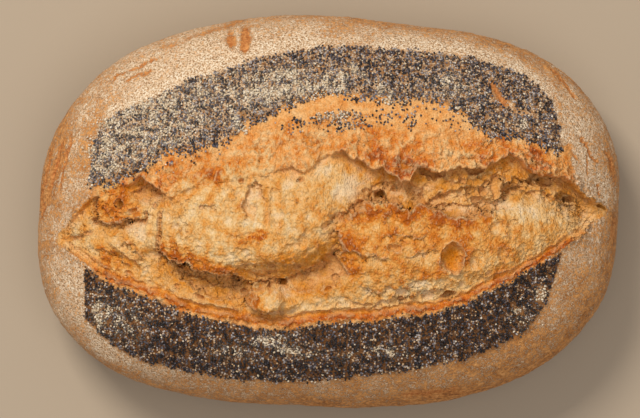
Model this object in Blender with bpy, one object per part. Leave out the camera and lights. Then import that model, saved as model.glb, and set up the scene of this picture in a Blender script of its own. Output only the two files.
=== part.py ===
"""A hearth loaf, baked free-standing: a low dome on a flat base, with one long tear across its top.

The loaf is one solid. Its body is a sphere whose rings are reshaped into cross-sections of the loaf, each
standing at one place along X. The tear's two edges, the crumb that rose between them and the hollows in that
crumb are worked out from the named sizes below, which are all in metres.

+X is the loaf's right end, +Y its back, and +Z up. The origin is at the centre of the footprint, on the table.
"""

import math

import bmesh
import bpy
import numpy as np

# ---- Driving dimensions ----
LENGTH = 0.262
WIDTH = 0.176
DOME_HEIGHT = 0.086  # the crust's dome before the crumb pushes out of it
GIRTH_HEIGHT = 0.033  # where the loaf is widest

# ---- Plan outline: a superellipse, made a little uneven by a few waves round the loaf ----
OUTLINE_POWER = 2.65
OUTLINE_WAVES = (  # (waves in one turn, cosine share, sine share)
    (1, -0.0066, 0.0030),
    (2, -0.0038, 0.0033),
    (3, 0.0019, -0.0047),
    (4, 0.0037, 0.0110),
)

# ---- Cross-section ----
DOME_POWER = 2.35  # how boxy the dome is: 2 is an ellipse
BELLY_POWER = 5.0  # how sharply the underside turns in to the base
BELLY_DEPTH = 1.15  # the underside would reach this share of the girth's height, and is cut flat at the table

# ---- The tear ----
TEAR_LEFT = (-0.1207, -0.0117)
TEAR_RIGHT = (0.1233, -0.0003)
LIP_BULGE = 0.043  # how far the front edge bows away from the line between the tips
LIP_SKEW = 0.85  # under 1, the bow is fullest left of the middle
LIP_POWER = 0.78
EAR_BULGE = 0.0225  # the same for the back edge, the ear, which bows evenly
EAR_POWER = 4.0
EAR_ROUND = 0.6
EAR_RETREATS = (  # places where the ear tore further back: (X, half length, distance)
    (0.0040, 0.0110, 0.0080),
    (0.0780, 0.0200, 0.0035),
    (0.0330, 0.0070, -0.0030),
)
TIP_GAP = 0.004  # the tear's least width, where its edges close on each other

EAR_LIFT = 0.0030  # the ear curls up by this at its edge
EAR_REACH = 0.014  # and lies flat again this far behind it
EAR_DROP_RIGHT = 0.0070  # the step from the ear down to the crumb, on the right
EAR_DROP_LEFT = 0.0020
EAR_DROP_MIDDLE = 0.004  # X at which the small step turns into the large one
EAR_DROP_TURN = 0.012
LIP_LIFT = 0.0012
LIP_REACH = 0.006
LIP_DROP = 0.0030
STEP_WIDTH = 0.0014  # both steps fall within this distance
CRUMB_RISE = 0.0022  # the crumb bulges this far above the dome along its middle

# Swellings and hollows of the torn crumb: (X, Y, half length, half width, turn in degrees, height).
CRUMB_FORMS = {
    "left mound": (-0.036, -0.006, 0.042, 0.019, 4, 0.0040),
    "right mound": (0.052, -0.012, 0.050, 0.015, 4, 0.0030),
    "front knob": (-0.0288, -0.0385, 0.0075, 0.0050, 0, 0.0060),
    "front groove": (-0.0430, -0.0320, 0.0240, 0.0058, -14, -0.0085),
    "groove end": (-0.0060, -0.0300, 0.0150, 0.0052, 24, -0.0070),
    "back valley": (0.0600, 0.0080, 0.0500, 0.0062, 0, -0.0070),
    "middle split": (0.0040, 0.0060, 0.0130, 0.0032, 38, -0.0050),
    "left pocket": (-0.0840, 0.0030, 0.0120, 0.0048, -14, -0.0055),
    "round bubble": (0.0542, -0.0213, 0.0048, 0.0062, 0, -0.0045),
    "tall bubble": (-0.0360, 0.0015, 0.0040, 0.0090, -8, -0.0025),
}

# ---- Mesh ----
RINGS = 72  # cross-sections along the loaf
RING_POINTS = 66  # points round each one
CRUMB_SHARE = 28  # of those, the spaces that the torn crumb takes
FRONT_SHARE = 10  # and the crust in front of it, from the girth up
BACK_SHARE = 9  # and behind it, down to the girth
STEP_SHARE = 1  # and each of the two steps; the rest go to the underside
LEAST_CRUMB_ANGLE = 0.08  # keeps the crumb's spaces open near the tips, in radians
LEAST_STEP_ANGLE = 0.02  # and the steps' spaces
END_ANGLE = 0.80  # and keeps them this far from the girth
OUTLINE_SAMPLES = 1440


# ---- Plan outline ----
def raw_radius(angle):
    """The outline's distance from its own centre, before it is fitted to LENGTH and WIDTH."""
    along = np.abs(np.cos(angle) / (LENGTH / 2)) ** OUTLINE_POWER
    across = np.abs(np.sin(angle) / (WIDTH / 2)) ** OUTLINE_POWER
    wave = 1.0
    for count, cosine, sine in OUTLINE_WAVES:
        wave = wave + cosine * np.cos(count * angle) + sine * np.sin(count * angle)
    return wave * (along + across) ** (-1 / OUTLINE_POWER)


def fitted_outline():
    """The outline as points, moved and stretched to be LENGTH by WIDTH about the origin."""
    angle = np.linspace(-math.pi, math.pi, OUTLINE_SAMPLES + 1)
    points = raw_radius(angle)[:, None] * np.stack([np.cos(angle), np.sin(angle)], axis=1)
    low, high = points.min(axis=0), points.max(axis=0)
    return (points - (low + high) / 2) * np.array([LENGTH, WIDTH]) / (high - low)


OUTLINE = fitted_outline()
OUTLINE_ANGLE = np.unwrap(np.arctan2(OUTLINE[:, 1], OUTLINE[:, 0]))
OUTLINE_RADIUS = np.hypot(OUTLINE[:, 0], OUTLINE[:, 1])


def rim_share(x, y):
    """How far out a point lies: 0 at the centre and 1 on the outline."""
    angle = np.arctan2(y, x)
    radius = np.interp(angle, OUTLINE_ANGLE, OUTLINE_RADIUS, period=2 * math.pi)
    return np.hypot(x, y) / radius


def outline_arcs():
    """The front and back halves of the outline, each from the left end to the right."""
    loop = np.roll(OUTLINE[:-1], -OUTLINE[:-1, 0].argmin(), axis=0)
    loop = np.vstack([loop, loop[:1]])
    right = loop[:, 0].argmax()
    return loop[: right + 1], loop[right:][::-1]


FRONT_ARC, BACK_ARC = outline_arcs()


def side_limits(x):
    """The outline's lowest and highest Y at x."""
    return np.interp(x, FRONT_ARC[:, 0], FRONT_ARC[:, 1]), np.interp(x, BACK_ARC[:, 0], BACK_ARC[:, 1])


# ---- Height of the crust, over and under the girth ----
def dome(x, y):
    share = np.clip(rim_share(x, y), 0, 1)
    return GIRTH_HEIGHT + (DOME_HEIGHT - GIRTH_HEIGHT) * np.sqrt(1 - share**DOME_POWER)


def underside(x, y):
    share = np.clip(rim_share(x, y), 0, 1)
    depth = BELLY_DEPTH * GIRTH_HEIGHT * np.sqrt(1 - share**BELLY_POWER)
    return np.maximum(GIRTH_HEIGHT - depth, 0)


# ---- The tear's edges ----
def tear_share(x):
    """0 at the tear's left tip and 1 at its right tip."""
    return np.clip((x - TEAR_LEFT[0]) / (TEAR_RIGHT[0] - TEAR_LEFT[0]), 0, 1)


def tip_line(x):
    slope = (TEAR_RIGHT[1] - TEAR_LEFT[1]) / (TEAR_RIGHT[0] - TEAR_LEFT[0])
    return TEAR_LEFT[1] + slope * (x - TEAR_LEFT[0])


def lip_edge(x):
    bow = np.sin(math.pi * tear_share(x) ** LIP_SKEW).clip(0, 1) ** LIP_POWER
    return tip_line(x) - TIP_GAP / 2 - LIP_BULGE * bow


def ear_edge(x):
    bow = (1 - np.abs(2 * tear_share(x) - 1) ** EAR_POWER) ** EAR_ROUND
    edge = tip_line(x) + TIP_GAP / 2 + EAR_BULGE * bow
    for middle, half_length, distance in EAR_RETREATS:
        edge = edge + distance * np.exp(-(((x - middle) / half_length) ** 2))
    return edge


# ---- Relief on the dome ----
def smooth_step(value):
    value = np.clip(value, 0, 1)
    return value * value * (3 - 2 * value)


def bump(x, y, form):
    """A smooth swelling or hollow, as one row of CRUMB_FORMS gives it."""
    middle_x, middle_y, half_length, half_width, turn, height = form
    cosine, sine = math.cos(math.radians(turn)), math.sin(math.radians(turn))
    along = ((x - middle_x) * cosine + (y - middle_y) * sine) / half_length
    across = ((y - middle_y) * cosine - (x - middle_x) * sine) / half_width
    return height * np.exp(-(along**2 + across**2))


def crust_relief(x, y):
    """The curl of the crust just outside the two edges."""
    ear, lip = ear_edge(x), lip_edge(x)
    ear_curl = EAR_LIFT * np.exp(-((np.maximum(y - ear, 0) / EAR_REACH) ** 2))
    lip_curl = LIP_LIFT * np.exp(-((np.maximum(lip - y, 0) / LIP_REACH) ** 2))
    fade = np.sin(math.pi * tear_share(x)).clip(0, 1)
    return fade * np.where(y > (ear + lip) / 2, ear_curl, lip_curl)


def crumb_relief(x, y):
    """The torn crumb, from one edge's foot to the other's."""
    share = np.clip((y - lip_edge(x)) / (ear_edge(x) - lip_edge(x)), 0, 1)
    rise = CRUMB_RISE * np.sin(math.pi * share)
    turn = smooth_step(0.5 + (x - EAR_DROP_MIDDLE) / (2 * EAR_DROP_TURN))
    ear_drop = EAR_DROP_LEFT + (EAR_DROP_RIGHT - EAR_DROP_LEFT) * turn
    drop = ear_drop * smooth_step(3 * share - 2) + LIP_DROP * smooth_step(1 - 4 * share)
    fade = np.sin(math.pi * tear_share(x)).clip(0, 1) ** 0.5
    return fade * (rise - drop) + sum(bump(x, y, form) for form in CRUMB_FORMS.values())


def relief(x, y):
    """Crust outside the edges and crumb inside them, with a steep step between."""
    inside = smooth_step((y - lip_edge(x)) / STEP_WIDTH) * smooth_step((ear_edge(x) - y) / STEP_WIDTH)
    return inside * crumb_relief(x, y) + (1 - inside) * crust_relief(x, y)


# ---- The rings ----
def angle_at(y, middle, half):
    """The turn from +Y at which a ring of this middle and half width stands over y."""
    return math.acos(max(-1.0, min(1.0, (y - middle) / half)))


def ring_angles(x, middle, half):
    """The angles of a ring's points, from +Y over the top to -Y and on under the loaf.
    The spaces are shared out so that two points stand on either side of each step."""
    ear = angle_at(float(ear_edge(x)), middle, half)
    ear_foot = angle_at(float(ear_edge(x)) - STEP_WIDTH, middle, half)
    lip_foot = angle_at(float(lip_edge(x)) + STEP_WIDTH, middle, half)
    lip = angle_at(float(lip_edge(x)), middle, half)
    if lip_foot - ear_foot < LEAST_CRUMB_ANGLE:
        centre = min(max((ear + lip) / 2, END_ANGLE), math.pi - END_ANGLE)
        ear_foot, lip_foot = centre - LEAST_CRUMB_ANGLE / 2, centre + LEAST_CRUMB_ANGLE / 2
        ear, lip = ear_foot - LEAST_STEP_ANGLE, lip_foot + LEAST_STEP_ANGLE
    used = BACK_SHARE + 2 * STEP_SHARE + CRUMB_SHARE + FRONT_SHARE
    stops = (
        (0.0, 0),
        (ear, BACK_SHARE),
        (ear_foot, BACK_SHARE + STEP_SHARE),
        (lip_foot, BACK_SHARE + STEP_SHARE + CRUMB_SHARE),
        (lip, BACK_SHARE + 2 * STEP_SHARE + CRUMB_SHARE),
        (math.pi, used),
        (2 * math.pi, RING_POINTS),
    )
    counts = [count for _, count in stops]
    return np.interp(np.arange(RING_POINTS), counts, [angle for angle, _ in stops])


def ring(x):
    """One cross-section, as RING_POINTS points at this X."""
    low, high = (float(limit) for limit in side_limits(x))
    middle, half = (low + high) / 2, max((high - low) / 2, 1e-6)
    angle = ring_angles(x, middle, half)
    y = middle + half * np.cos(angle)
    top = dome(x, y) + relief(x, y) * (rim_share(x, y) < 1)
    z = np.where(angle <= math.pi, top, underside(x, y))
    return np.stack([np.full(RING_POINTS, x), y, z], axis=1)


# ---- Building ----
def start_clean():
    for thing in list(bpy.data.objects):
        bpy.data.objects.remove(thing)
    collection = bpy.data.collections.new("hearth_loaf")
    bpy.context.scene.collection.children.link(collection)
    return collection


def baked_crust():
    """The material of the whole loaf: a matt, floury golden crust."""
    material = bpy.data.materials.new("baked_crust")
    material.use_nodes = True
    shader = material.node_tree.nodes["Principled BSDF"]
    shader.inputs["Base Color"].default_value = (0.56, 0.31, 0.13, 1)
    shader.inputs["Roughness"].default_value = 0.85
    shader.inputs["Metallic"].default_value = 0.0
    return material


def shape_loaf(shell):
    """Moves each vertex of a unit sphere, whose poles lie on X, to its place on the loaf."""
    ends = OUTLINE[:, 0].min(), OUTLINE[:, 0].max()
    rings = {}
    for vertex in shell.verts:
        station = round(math.acos(max(-1.0, min(1.0, -vertex.co.x))) / math.pi * RINGS)
        if station not in rings:
            share = (1 - math.cos(math.pi * station / RINGS)) / 2
            rings[station] = ring(ends[0] + share * (ends[1] - ends[0]))
        points = rings[station]
        if station in (0, RINGS):
            vertex.co = (*points[:, :2].mean(axis=0), GIRTH_HEIGHT)
            continue
        turn = math.atan2(vertex.co.z, vertex.co.y) % (2 * math.pi)
        vertex.co = points[round(turn / (2 * math.pi) * RING_POINTS) % RING_POINTS]


def build_loaf(collection):
    shell = bmesh.new()
    bmesh.ops.create_uvsphere(shell, u_segments=RING_POINTS, v_segments=RINGS, radius=1)
    for vertex in shell.verts:  # turn the poles from Z to X
        vertex.co = (-vertex.co.z, vertex.co.y, vertex.co.x)
    shape_loaf(shell)
    bmesh.ops.recalc_face_normals(shell, faces=shell.faces)
    if shell.calc_volume(signed=True) < 0:
        bmesh.ops.reverse_faces(shell, faces=shell.faces)
    mesh = bpy.data.meshes.new("loaf")
    shell.to_mesh(mesh)
    shell.free()
    mesh.shade_smooth()
    mesh.materials.append(baked_crust())
    loaf = bpy.data.objects.new("loaf", mesh)
    collection.objects.link(loaf)
    return loaf


build_loaf(start_clean())
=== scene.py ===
# %% [markdown]
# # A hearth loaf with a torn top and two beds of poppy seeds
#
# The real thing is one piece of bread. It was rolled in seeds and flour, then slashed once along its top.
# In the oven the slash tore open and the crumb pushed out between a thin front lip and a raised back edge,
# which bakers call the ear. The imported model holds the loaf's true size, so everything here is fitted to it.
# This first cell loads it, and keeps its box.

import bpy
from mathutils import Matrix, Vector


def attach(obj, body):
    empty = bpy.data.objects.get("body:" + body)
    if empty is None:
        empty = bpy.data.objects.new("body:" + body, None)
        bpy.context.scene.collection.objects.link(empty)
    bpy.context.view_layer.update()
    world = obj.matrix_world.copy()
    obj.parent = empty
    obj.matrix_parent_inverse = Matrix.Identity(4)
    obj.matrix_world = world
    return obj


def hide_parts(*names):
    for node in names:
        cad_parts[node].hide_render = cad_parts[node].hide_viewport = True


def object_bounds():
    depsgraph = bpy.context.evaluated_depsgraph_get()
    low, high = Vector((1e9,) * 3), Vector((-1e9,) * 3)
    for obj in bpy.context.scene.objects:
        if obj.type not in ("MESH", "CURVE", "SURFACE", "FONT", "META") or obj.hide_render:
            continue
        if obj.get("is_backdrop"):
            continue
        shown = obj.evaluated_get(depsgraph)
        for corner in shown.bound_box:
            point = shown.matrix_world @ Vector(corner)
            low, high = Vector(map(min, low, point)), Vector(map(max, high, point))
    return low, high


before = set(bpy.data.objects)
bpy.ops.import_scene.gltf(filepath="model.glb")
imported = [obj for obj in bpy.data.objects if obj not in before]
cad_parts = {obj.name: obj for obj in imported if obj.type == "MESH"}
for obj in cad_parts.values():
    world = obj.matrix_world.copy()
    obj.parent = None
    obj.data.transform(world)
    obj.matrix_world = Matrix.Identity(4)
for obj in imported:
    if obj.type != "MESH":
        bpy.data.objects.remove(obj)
cad_low, cad_high = (list(corner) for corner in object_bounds())

import math

import bpy
import numpy as np
from mathutils import Vector

MM = 0.001
LENGTH = cad_high[0] - cad_low[0]
WIDTH = cad_high[1] - cad_low[1]
print(f"loaf box {LENGTH / MM:.1f} x {WIDTH / MM:.1f} x {cad_high[2] / MM:.1f} mm")

# %% [markdown]
# ## Camera, floor and light
#
# The loaf is looked at from straight above. A long lens far away keeps its rim from leaning outwards, as it
# would close to a short lens. The light is one large soft panel from the back left, as from a window, and a
# weak wide one from above, so that hollows in the crumb stay readable. The floor is a plain pale sheet.

# %% Camera
VIEW_WIDTH = 0.2886  # what the frame takes in, at the height where the loaf is widest
VIEW_HEIGHT_ABOVE = 2.3
GIRTH_HEIGHT = 0.033
SHIFT_X, SHIFT_Y = -0.0039, 0.0012  # the loaf lies a little right of the frame's middle and below it

camera_data = bpy.data.cameras.new("overhead_camera")
camera_data.sensor_width = 36
camera_data.lens = camera_data.sensor_width * VIEW_HEIGHT_ABOVE / VIEW_WIDTH
camera_data.clip_end = 10
camera = bpy.data.objects.new("overhead_camera", camera_data)
camera.location = (SHIFT_X, SHIFT_Y, GIRTH_HEIGHT + VIEW_HEIGHT_ABOVE)
bpy.context.scene.collection.objects.link(camera)
bpy.context.scene.camera = camera
print(f"camera lens {camera_data.lens:.0f} mm")

# %% Floor and lights
bpy.ops.object.select_all(action="DESELECT")
bpy.ops.mesh.primitive_plane_add(size=6)
floor = bpy.context.object
floor.name = "floor"
floor_material = bpy.data.materials.new("pale_floor")
floor_material.use_nodes = True
floor_shader = floor_material.node_tree.nodes["Principled BSDF"]
floor_shader.inputs["Base Color"].default_value = (0.44, 0.35, 0.255, 1)
floor_shader.inputs["Roughness"].default_value = 0.9
floor.data.materials.append(floor_material)
floor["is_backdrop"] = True


def add_panel(name, place, size, power, tint):
    """A square light panel at place, facing the loaf."""
    light = bpy.data.lights.new(name, "AREA")
    light.shape = "SQUARE"
    light.size = size
    light.energy = power
    light.color = tint
    panel = bpy.data.objects.new(name, light)
    panel.location = place
    panel.rotation_euler = (Vector((0, 0, 0.05)) - Vector(place)).to_track_quat("-Z", "Y").to_euler()
    bpy.context.scene.collection.objects.link(panel)
    return panel


add_panel("window_light", (-0.62, 1.0, 1.65), 0.62, 27, (1.0, 0.95, 0.87))
add_panel("ceiling_light", (0.35, -0.5, 2.7), 2.0, 20, (1.0, 0.97, 0.93))
world = bpy.data.worlds.new("room")
bpy.context.scene.world = world
world.use_nodes = True
world.node_tree.nodes["Background"].inputs["Color"].default_value = (0.98, 0.97, 0.98, 1)
world.node_tree.nodes["Background"].inputs["Strength"].default_value = 0.36
bpy.context.scene.view_settings.view_transform = "Standard"

# %% [markdown]
# ## Noise to sculpt with
#
# Bread has no straight line or even surface, so its form is sculpted with noise: smooth noise for swellings,
# ridged noise for shreds, and cells for bubbles. Blender's Displace modifier could push a surface about, but
# it can't tell a torn edge from a bubble's wall, so the few kinds of noise are written out as functions that
# work on all the points at once. They use no random state, so every run gives the same loaf.


# %% Smooth noise
def scramble(cell_x, cell_y, cell_z, seed):
    """A repeatable whole number from 0 to 2**32 - 1 for each cell of a grid."""
    mixed = cell_x * 73856093 ^ cell_y * 19349663 ^ cell_z * 83492791 ^ (seed + 1) * 2654435761
    mixed = (mixed ^ mixed >> 15 & 0x1FFFF) * 2246822519 & 0xFFFFFFFF
    mixed = (mixed ^ mixed >> 13) * 3266489917 & 0xFFFFFFFF
    return mixed ^ mixed >> 16


def slope_at(key, dx, dy, dz):
    """The height, at an offset from a grid corner, of the slope that the corner's key picks."""
    first = np.where(key & 8, dy, dx)
    second = np.where(key & 4, dz, np.where(key & 8, dx, dy))
    return np.where(key & 1, -first, first) + np.where(key & 2, -second, second)


def noise(x, y, z, size, seed):
    """Smooth noise from about -1 to 1, with one swelling or hollow about every size metres."""
    x, y, z = np.broadcast_arrays(x / size, y / size, z / size)
    base = [np.floor(axis).astype(np.int64) for axis in (x, y, z)]
    part = [axis - corner for axis, corner in zip((x, y, z), base)]
    ease = [t * t * t * (t * (6 * t - 15) + 10) for t in part]
    total = 0
    for corner in range(8):
        step = corner & 1, corner >> 1 & 1, corner >> 2
        weight = 1
        for axis in range(3):
            weight = weight * (ease[axis] if step[axis] else 1 - ease[axis])
        key = scramble(base[0] + step[0], base[1] + step[1], base[2] + step[2], seed)
        total = total + weight * slope_at(key, part[0] - step[0], part[1] - step[1], part[2] - step[2])
    return total


def cloud(x, y, z, size, seed, octaves=4, gain=0.5):
    """Noise with finer noise added to it, each octave half the size of the last."""
    total, height = 0, 1.0
    for octave in range(octaves):
        total = total + height * noise(x, y, z, size / 2**octave, seed + 17 * octave)
        height *= gain
    return total


def shreds(x, y, z, size, seed, octaves=4, gain=0.5):
    """Ridged noise from 0 to about 1, with sharp crests, like shreds of torn dough."""
    total, height, most = 0, 1.0, 0
    for octave in range(octaves):
        crest = 1 - np.abs(noise(x, y, z, size / 2**octave, seed + 31 * octave))
        total = total + height * crest * crest
        most += height
        height *= gain
    return total / most


# %% Bubbles and soft steps
def bubbles(x, y, size, seed):
    """Bubbles of about one size: 1 in the middle and 0 on the wall, and a number from 0 to 1 for each."""
    column, row = np.floor(x / size).astype(np.int64), np.floor(y / size).astype(np.int64)
    nearest = np.full(x.shape, 9.0)
    second = np.full(x.shape, 9.0)
    token = np.zeros(x.shape)
    for across in (-1, 0, 1):
        for up in (-1, 0, 1):
            key = scramble(column + across, row + up, 0 * row, seed)
            dx = (column + across + (key & 1023) / 1023) - x / size
            dy = (row + up + (key >> 10 & 1023) / 1023) - y / size
            gap = np.hypot(dx, dy)
            closer = gap < nearest
            second = np.where(closer, nearest, np.minimum(second, gap))
            token = np.where(closer, (key >> 20 & 1023) / 1023, token)
            nearest = np.where(closer, gap, nearest)
    return np.clip((second - nearest) / 0.55, 0, 1), token


def soft(value):
    """0 below 0 and 1 above 1, with an even S-curve between."""
    value = np.clip(value, 0, 1)
    return value * value * (3 - 2 * value)


def between(value, low, high):
    """Soft step from 0 at low to 1 at high."""
    return soft((value - low) / (high - low))


def bell(distance, width, power=2):
    """1 where distance is 0, falling off evenly on both sides to about a third at width."""
    return np.exp(-((distance / width) ** power))


def trail(distance, reach):
    """1 up to distance 0, then fading to about a third at reach."""
    return np.exp(-np.maximum(distance, 0) / reach)


def blurred(field, cells):
    """Each value's mean over a box of neighbours."""
    for axis in (0, 1):
        before = np.repeat(field.take([0], axis), cells + 1, axis)
        after = np.repeat(field.take([-1], axis), cells, axis)
        padded = np.concatenate([before, field, after], axis)
        total = np.cumsum(padded, axis=axis)
        width = 2 * cells + 1
        ends, beginnings = range(width, total.shape[axis]), range(total.shape[axis] - width)
        field = (total.take(ends, axis) - total.take(beginnings, axis)) / width
    return field


# %% [markdown]
# ## The loaf's outline and dome
#
# From above, the loaf is an oblong with full corners, a curve called a superellipse, made uneven by a few
# slow waves, because hands shaped it. From the side it is a low dome that turns in to a flat base. Both are
# short formulas, so any point of the loaf can be worked out from how far along and how far out it lies.

# %% Outline
OUTLINE_POWER = 2.65
OUTLINE_WAVES = ((1, -0.0066, 0.0030), (2, -0.0038, 0.0033), (3, 0.0019, -0.0047), (4, 0.0037, 0.0110))


def make_outline():
    """The outline as points round the loaf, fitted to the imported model's length and width."""
    angle = np.linspace(-math.pi, math.pi, 2881)
    along = np.abs(np.cos(angle) / (LENGTH / 2)) ** OUTLINE_POWER
    across = np.abs(np.sin(angle) / (WIDTH / 2)) ** OUTLINE_POWER
    radius = (along + across) ** (-1 / OUTLINE_POWER)
    radius *= 1 + sum(c * np.cos(n * angle) + s * np.sin(n * angle) for n, c, s in OUTLINE_WAVES)
    points = radius[:, None] * np.stack([np.cos(angle), np.sin(angle)], axis=1)
    low, high = points.min(axis=0), points.max(axis=0)
    return (points - (low + high) / 2) * np.array([LENGTH, WIDTH]) / (high - low)


outline = make_outline()
outline_angle = np.unwrap(np.arctan2(outline[:, 1], outline[:, 0]))
outline_radius = np.hypot(outline[:, 0], outline[:, 1])
loop = np.roll(outline[:-1], -outline[:-1, 0].argmin(), axis=0)
loop = np.vstack([loop, loop[:1]])
front_arc = loop[: loop[:, 0].argmax() + 1]
back_arc = loop[loop[:, 0].argmax() :][::-1]
print(f"outline x {outline[:, 0].min() / MM:.1f} to {outline[:, 0].max() / MM:.1f} mm")


def rim_share(x, y):
    """How far out a point lies: 0 at the centre and 1 on the outline."""
    return np.hypot(x, y) / np.interp(np.arctan2(y, x), outline_angle, outline_radius, period=2 * math.pi)


# %% Dome and underside
DOME_HEIGHT, DOME_POWER = 0.086, 2.35
BELLY_POWER, BELLY_DEPTH = 5.0, 1.15


def dome(x, y):
    share = np.clip(rim_share(x, y), 0, 1)
    return GIRTH_HEIGHT + (DOME_HEIGHT - GIRTH_HEIGHT) * np.sqrt(1 - share**DOME_POWER)


def underside(x, y):
    share = np.clip(rim_share(x, y), 0, 1)
    return np.maximum(GIRTH_HEIGHT * (1 - BELLY_DEPTH * np.sqrt(1 - share**BELLY_POWER)), 0)


# %% [markdown]
# ## The tear's two edges
#
# The slash opened into a long lens. Its front edge, the lip, is a thin curl that bows forward. Its back edge,
# the ear, is ragged: it broke where the skin was weakest. The ear's course is given as a few places that it
# passes, in millimetres from the loaf's centre, and fine noise then frays it.

# %% Ear and lip
EAR_PLACES = [
    (-122.9, -12.3), (-117.6, -7.5), (-112.8, -1.0), (-106, 5.0), (-99.4, 9.0), (-90.6, 12.0),
    (-83.7, 15.4), (-79.8, 14), (-73.9, 8.1), (-70, 6.2), (-64, 9.5), (-54, 12.5), (-44, 13.5), (-36, 15.0),
    (-28, 16.0), (-21.5, 18.9), (-17, 20.8), (-12.7, 17.4), (-9.5, 18.0), (-5.4, 21.8), (0, 25.5),
    (6, 26.5), (9, 24.7), (11, 22.8), (15.8, 22.6), (17.3, 20.6), (19.7, 18.9), (23.6, 18.4), (25.6, 16.6),
    (29.5, 15.8), (32.5, 14.1), (35.6, 13.6), (37.4, 15.9), (39.3, 18.9), (42.3, 19.8), (45.2, 18.9),
    (48.1, 17.0), (51.1, 17.9), (55, 19.1), (62.8, 18.8), (68.7, 18.9), (70.7, 20.8), (73.6, 23.3),
    (79.5, 24.5), (84.4, 23.3), (87.3, 19.8), (90.3, 17.6), (94.2, 15.6), (98.1, 15.6), (104, 15.2),
    (107.9, 12.4), (110.6, 9.6), (115.6, 5.4), (120, 4.0), (125.8, 0.8),
]
LIP_PLACES = [
    (-122.9, -13.1), (-116.9, -15.7), (-111.2, -20.4), (-104.9, -25.4), (-99, -29), (-93.5, -31.4),
    (-83.7, -34.6), (-73.9, -38.2), (-68, -40.6), (-62.1, -43.4), (-54.3, -45.4), (-44.5, -47.6),
    (-34.7, -49.2), (-24.9, -50), (-15.1, -49.6), (-5.3, -47.8), (6, -46.8), (15.8, -47), (25.6, -45.6),
    (35.4, -43.8), (45.2, -43.4), (51.1, -41.8), (58.9, -39.2), (66.8, -35.4), (73.6, -31.8), (81.5, -28.2),
    (90.3, -23.2), (102, -16.6), (108.9, -12.4), (113.2, -10.2), (116.3, -7.0), (120, -3.4), (125.8, -0.6),
]
EAR_DROPS = [  # how far the crumb lies below the ear, at places along it, in millimetres
    (-122.9, 0), (-113, 1.5), (-106, 2.4), (-102, 0.6), (-92, 0.3), (-88, 3.0), (-80, 5.5), (-73, 3.0),
    (-66, 0.4), (-40, 0.3), (-26, 0.8), (-21, 2.2), (-16, 3.4), (-12, 2.8), (-8, 1.0), (-2, 1.2), (2, 2.4),
    (8, 4.8), (16, 6.2), (30, 6.8), (40, 6.0), (60, 5.2), (85, 5.5), (100, 5.5), (112, 5.0), (121, 3.2),
    (125.8, 0.5),
]
TIP_LEFT, TIP_RIGHT = (-0.1229, -0.0127), (0.1258, 0.0001)


def course(places, x):
    """The second number of each place, read off at x."""
    along, value = np.array(places).T * MM
    return np.interp(x, along, value)


def fray(x, seed, coarse, fine):
    """Ragged wander of an edge along x."""
    wander = coarse * noise(x, 0, 0, 7 * MM, seed) + fine * noise(x, 0, 0, 2.8 * MM, seed + 1)
    return wander + 0.6 * fine * noise(x, 0, 0, 1.3 * MM, seed + 2)


def tear_share(x):
    return np.clip((x - TIP_LEFT[0]) / (TIP_RIGHT[0] - TIP_LEFT[0]), 0, 1)


def tip_line(x):
    return TIP_LEFT[1] + (x - TIP_LEFT[0]) * (TIP_RIGHT[1] - TIP_LEFT[1]) / (TIP_RIGHT[0] - TIP_LEFT[0])


def lip_edge(x):
    inside = (x > TIP_LEFT[0]) & (x < TIP_RIGHT[0])
    open_share = between(np.minimum(tear_share(x), 1 - tear_share(x)), 0.0, 0.06)
    edge = course(LIP_PLACES, x) + open_share * fray(x, 40, 1.0 * MM, 0.7 * MM)
    return np.where(inside, edge, tip_line(x) - 0.5 * MM)


def ear_edge(x):
    inside = (x > TIP_LEFT[0]) & (x < TIP_RIGHT[0])
    open_share = between(course(EAR_DROPS, x), 0.0, 3 * MM)
    edge = course(EAR_PLACES, x) + (0.25 + 0.75 * open_share) * fray(x, 50, 1.8 * MM, 1.3 * MM)
    edge = np.where(inside, edge, tip_line(x) + 0.5 * MM)
    return np.maximum(edge, lip_edge(x) + 1 * MM)


print(f"tear is {(ear_edge(0.0) - lip_edge(0.0)) / MM:.0f} mm across in the middle")

# %% [markdown]
# ## The bare shell
#
# The loaf starts as a UV sphere lying on its side, so that its rings stand like slices along the loaf. Each
# ring is then laid on the loaf's own cross-section. A ring's points are shared out unevenly: they crowd
# between the lip and the ear, where the torn crumb needs about two points to a millimetre, and spread out
# underneath, where the base is plain. A sphere this fine is slow to add, so one of half as many rings is
# added and every face is then cut in four.

# %% Add and turn the sphere
SLICES = 544
RING_POINTS = 316
# how a ring's points are shared out: seeded back, skin beside the ear, torn crumb, lip, front, and the rest
# for the underside
BACK, EAR_ZONE, CRUMB, LIP_ZONE, FRONT = 54, 40, 152, 10, 34

bpy.ops.object.select_all(action="DESELECT")
bpy.ops.mesh.primitive_uv_sphere_add(segments=RING_POINTS // 2, ring_count=SLICES // 2, radius=1)
loaf = bpy.context.object
loaf.name = "crust"
bpy.ops.object.mode_set(mode="EDIT")
bpy.ops.mesh.select_all(action="SELECT")
bpy.ops.transform.rotate(value=math.pi / 2, orient_axis="Y", center_override=(0, 0, 0))
bpy.ops.mesh.subdivide(number_cuts=1)
bpy.ops.object.mode_set(mode="OBJECT")
flat_list = np.empty(len(loaf.data.vertices) * 3)
loaf.data.vertices.foreach_get("co", flat_list)
sphere = flat_list.reshape(-1, 3)
print(f"sphere of {len(sphere)} points, x from {sphere[:, 0].min():.2f} to {sphere[:, 0].max():.2f}")

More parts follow.
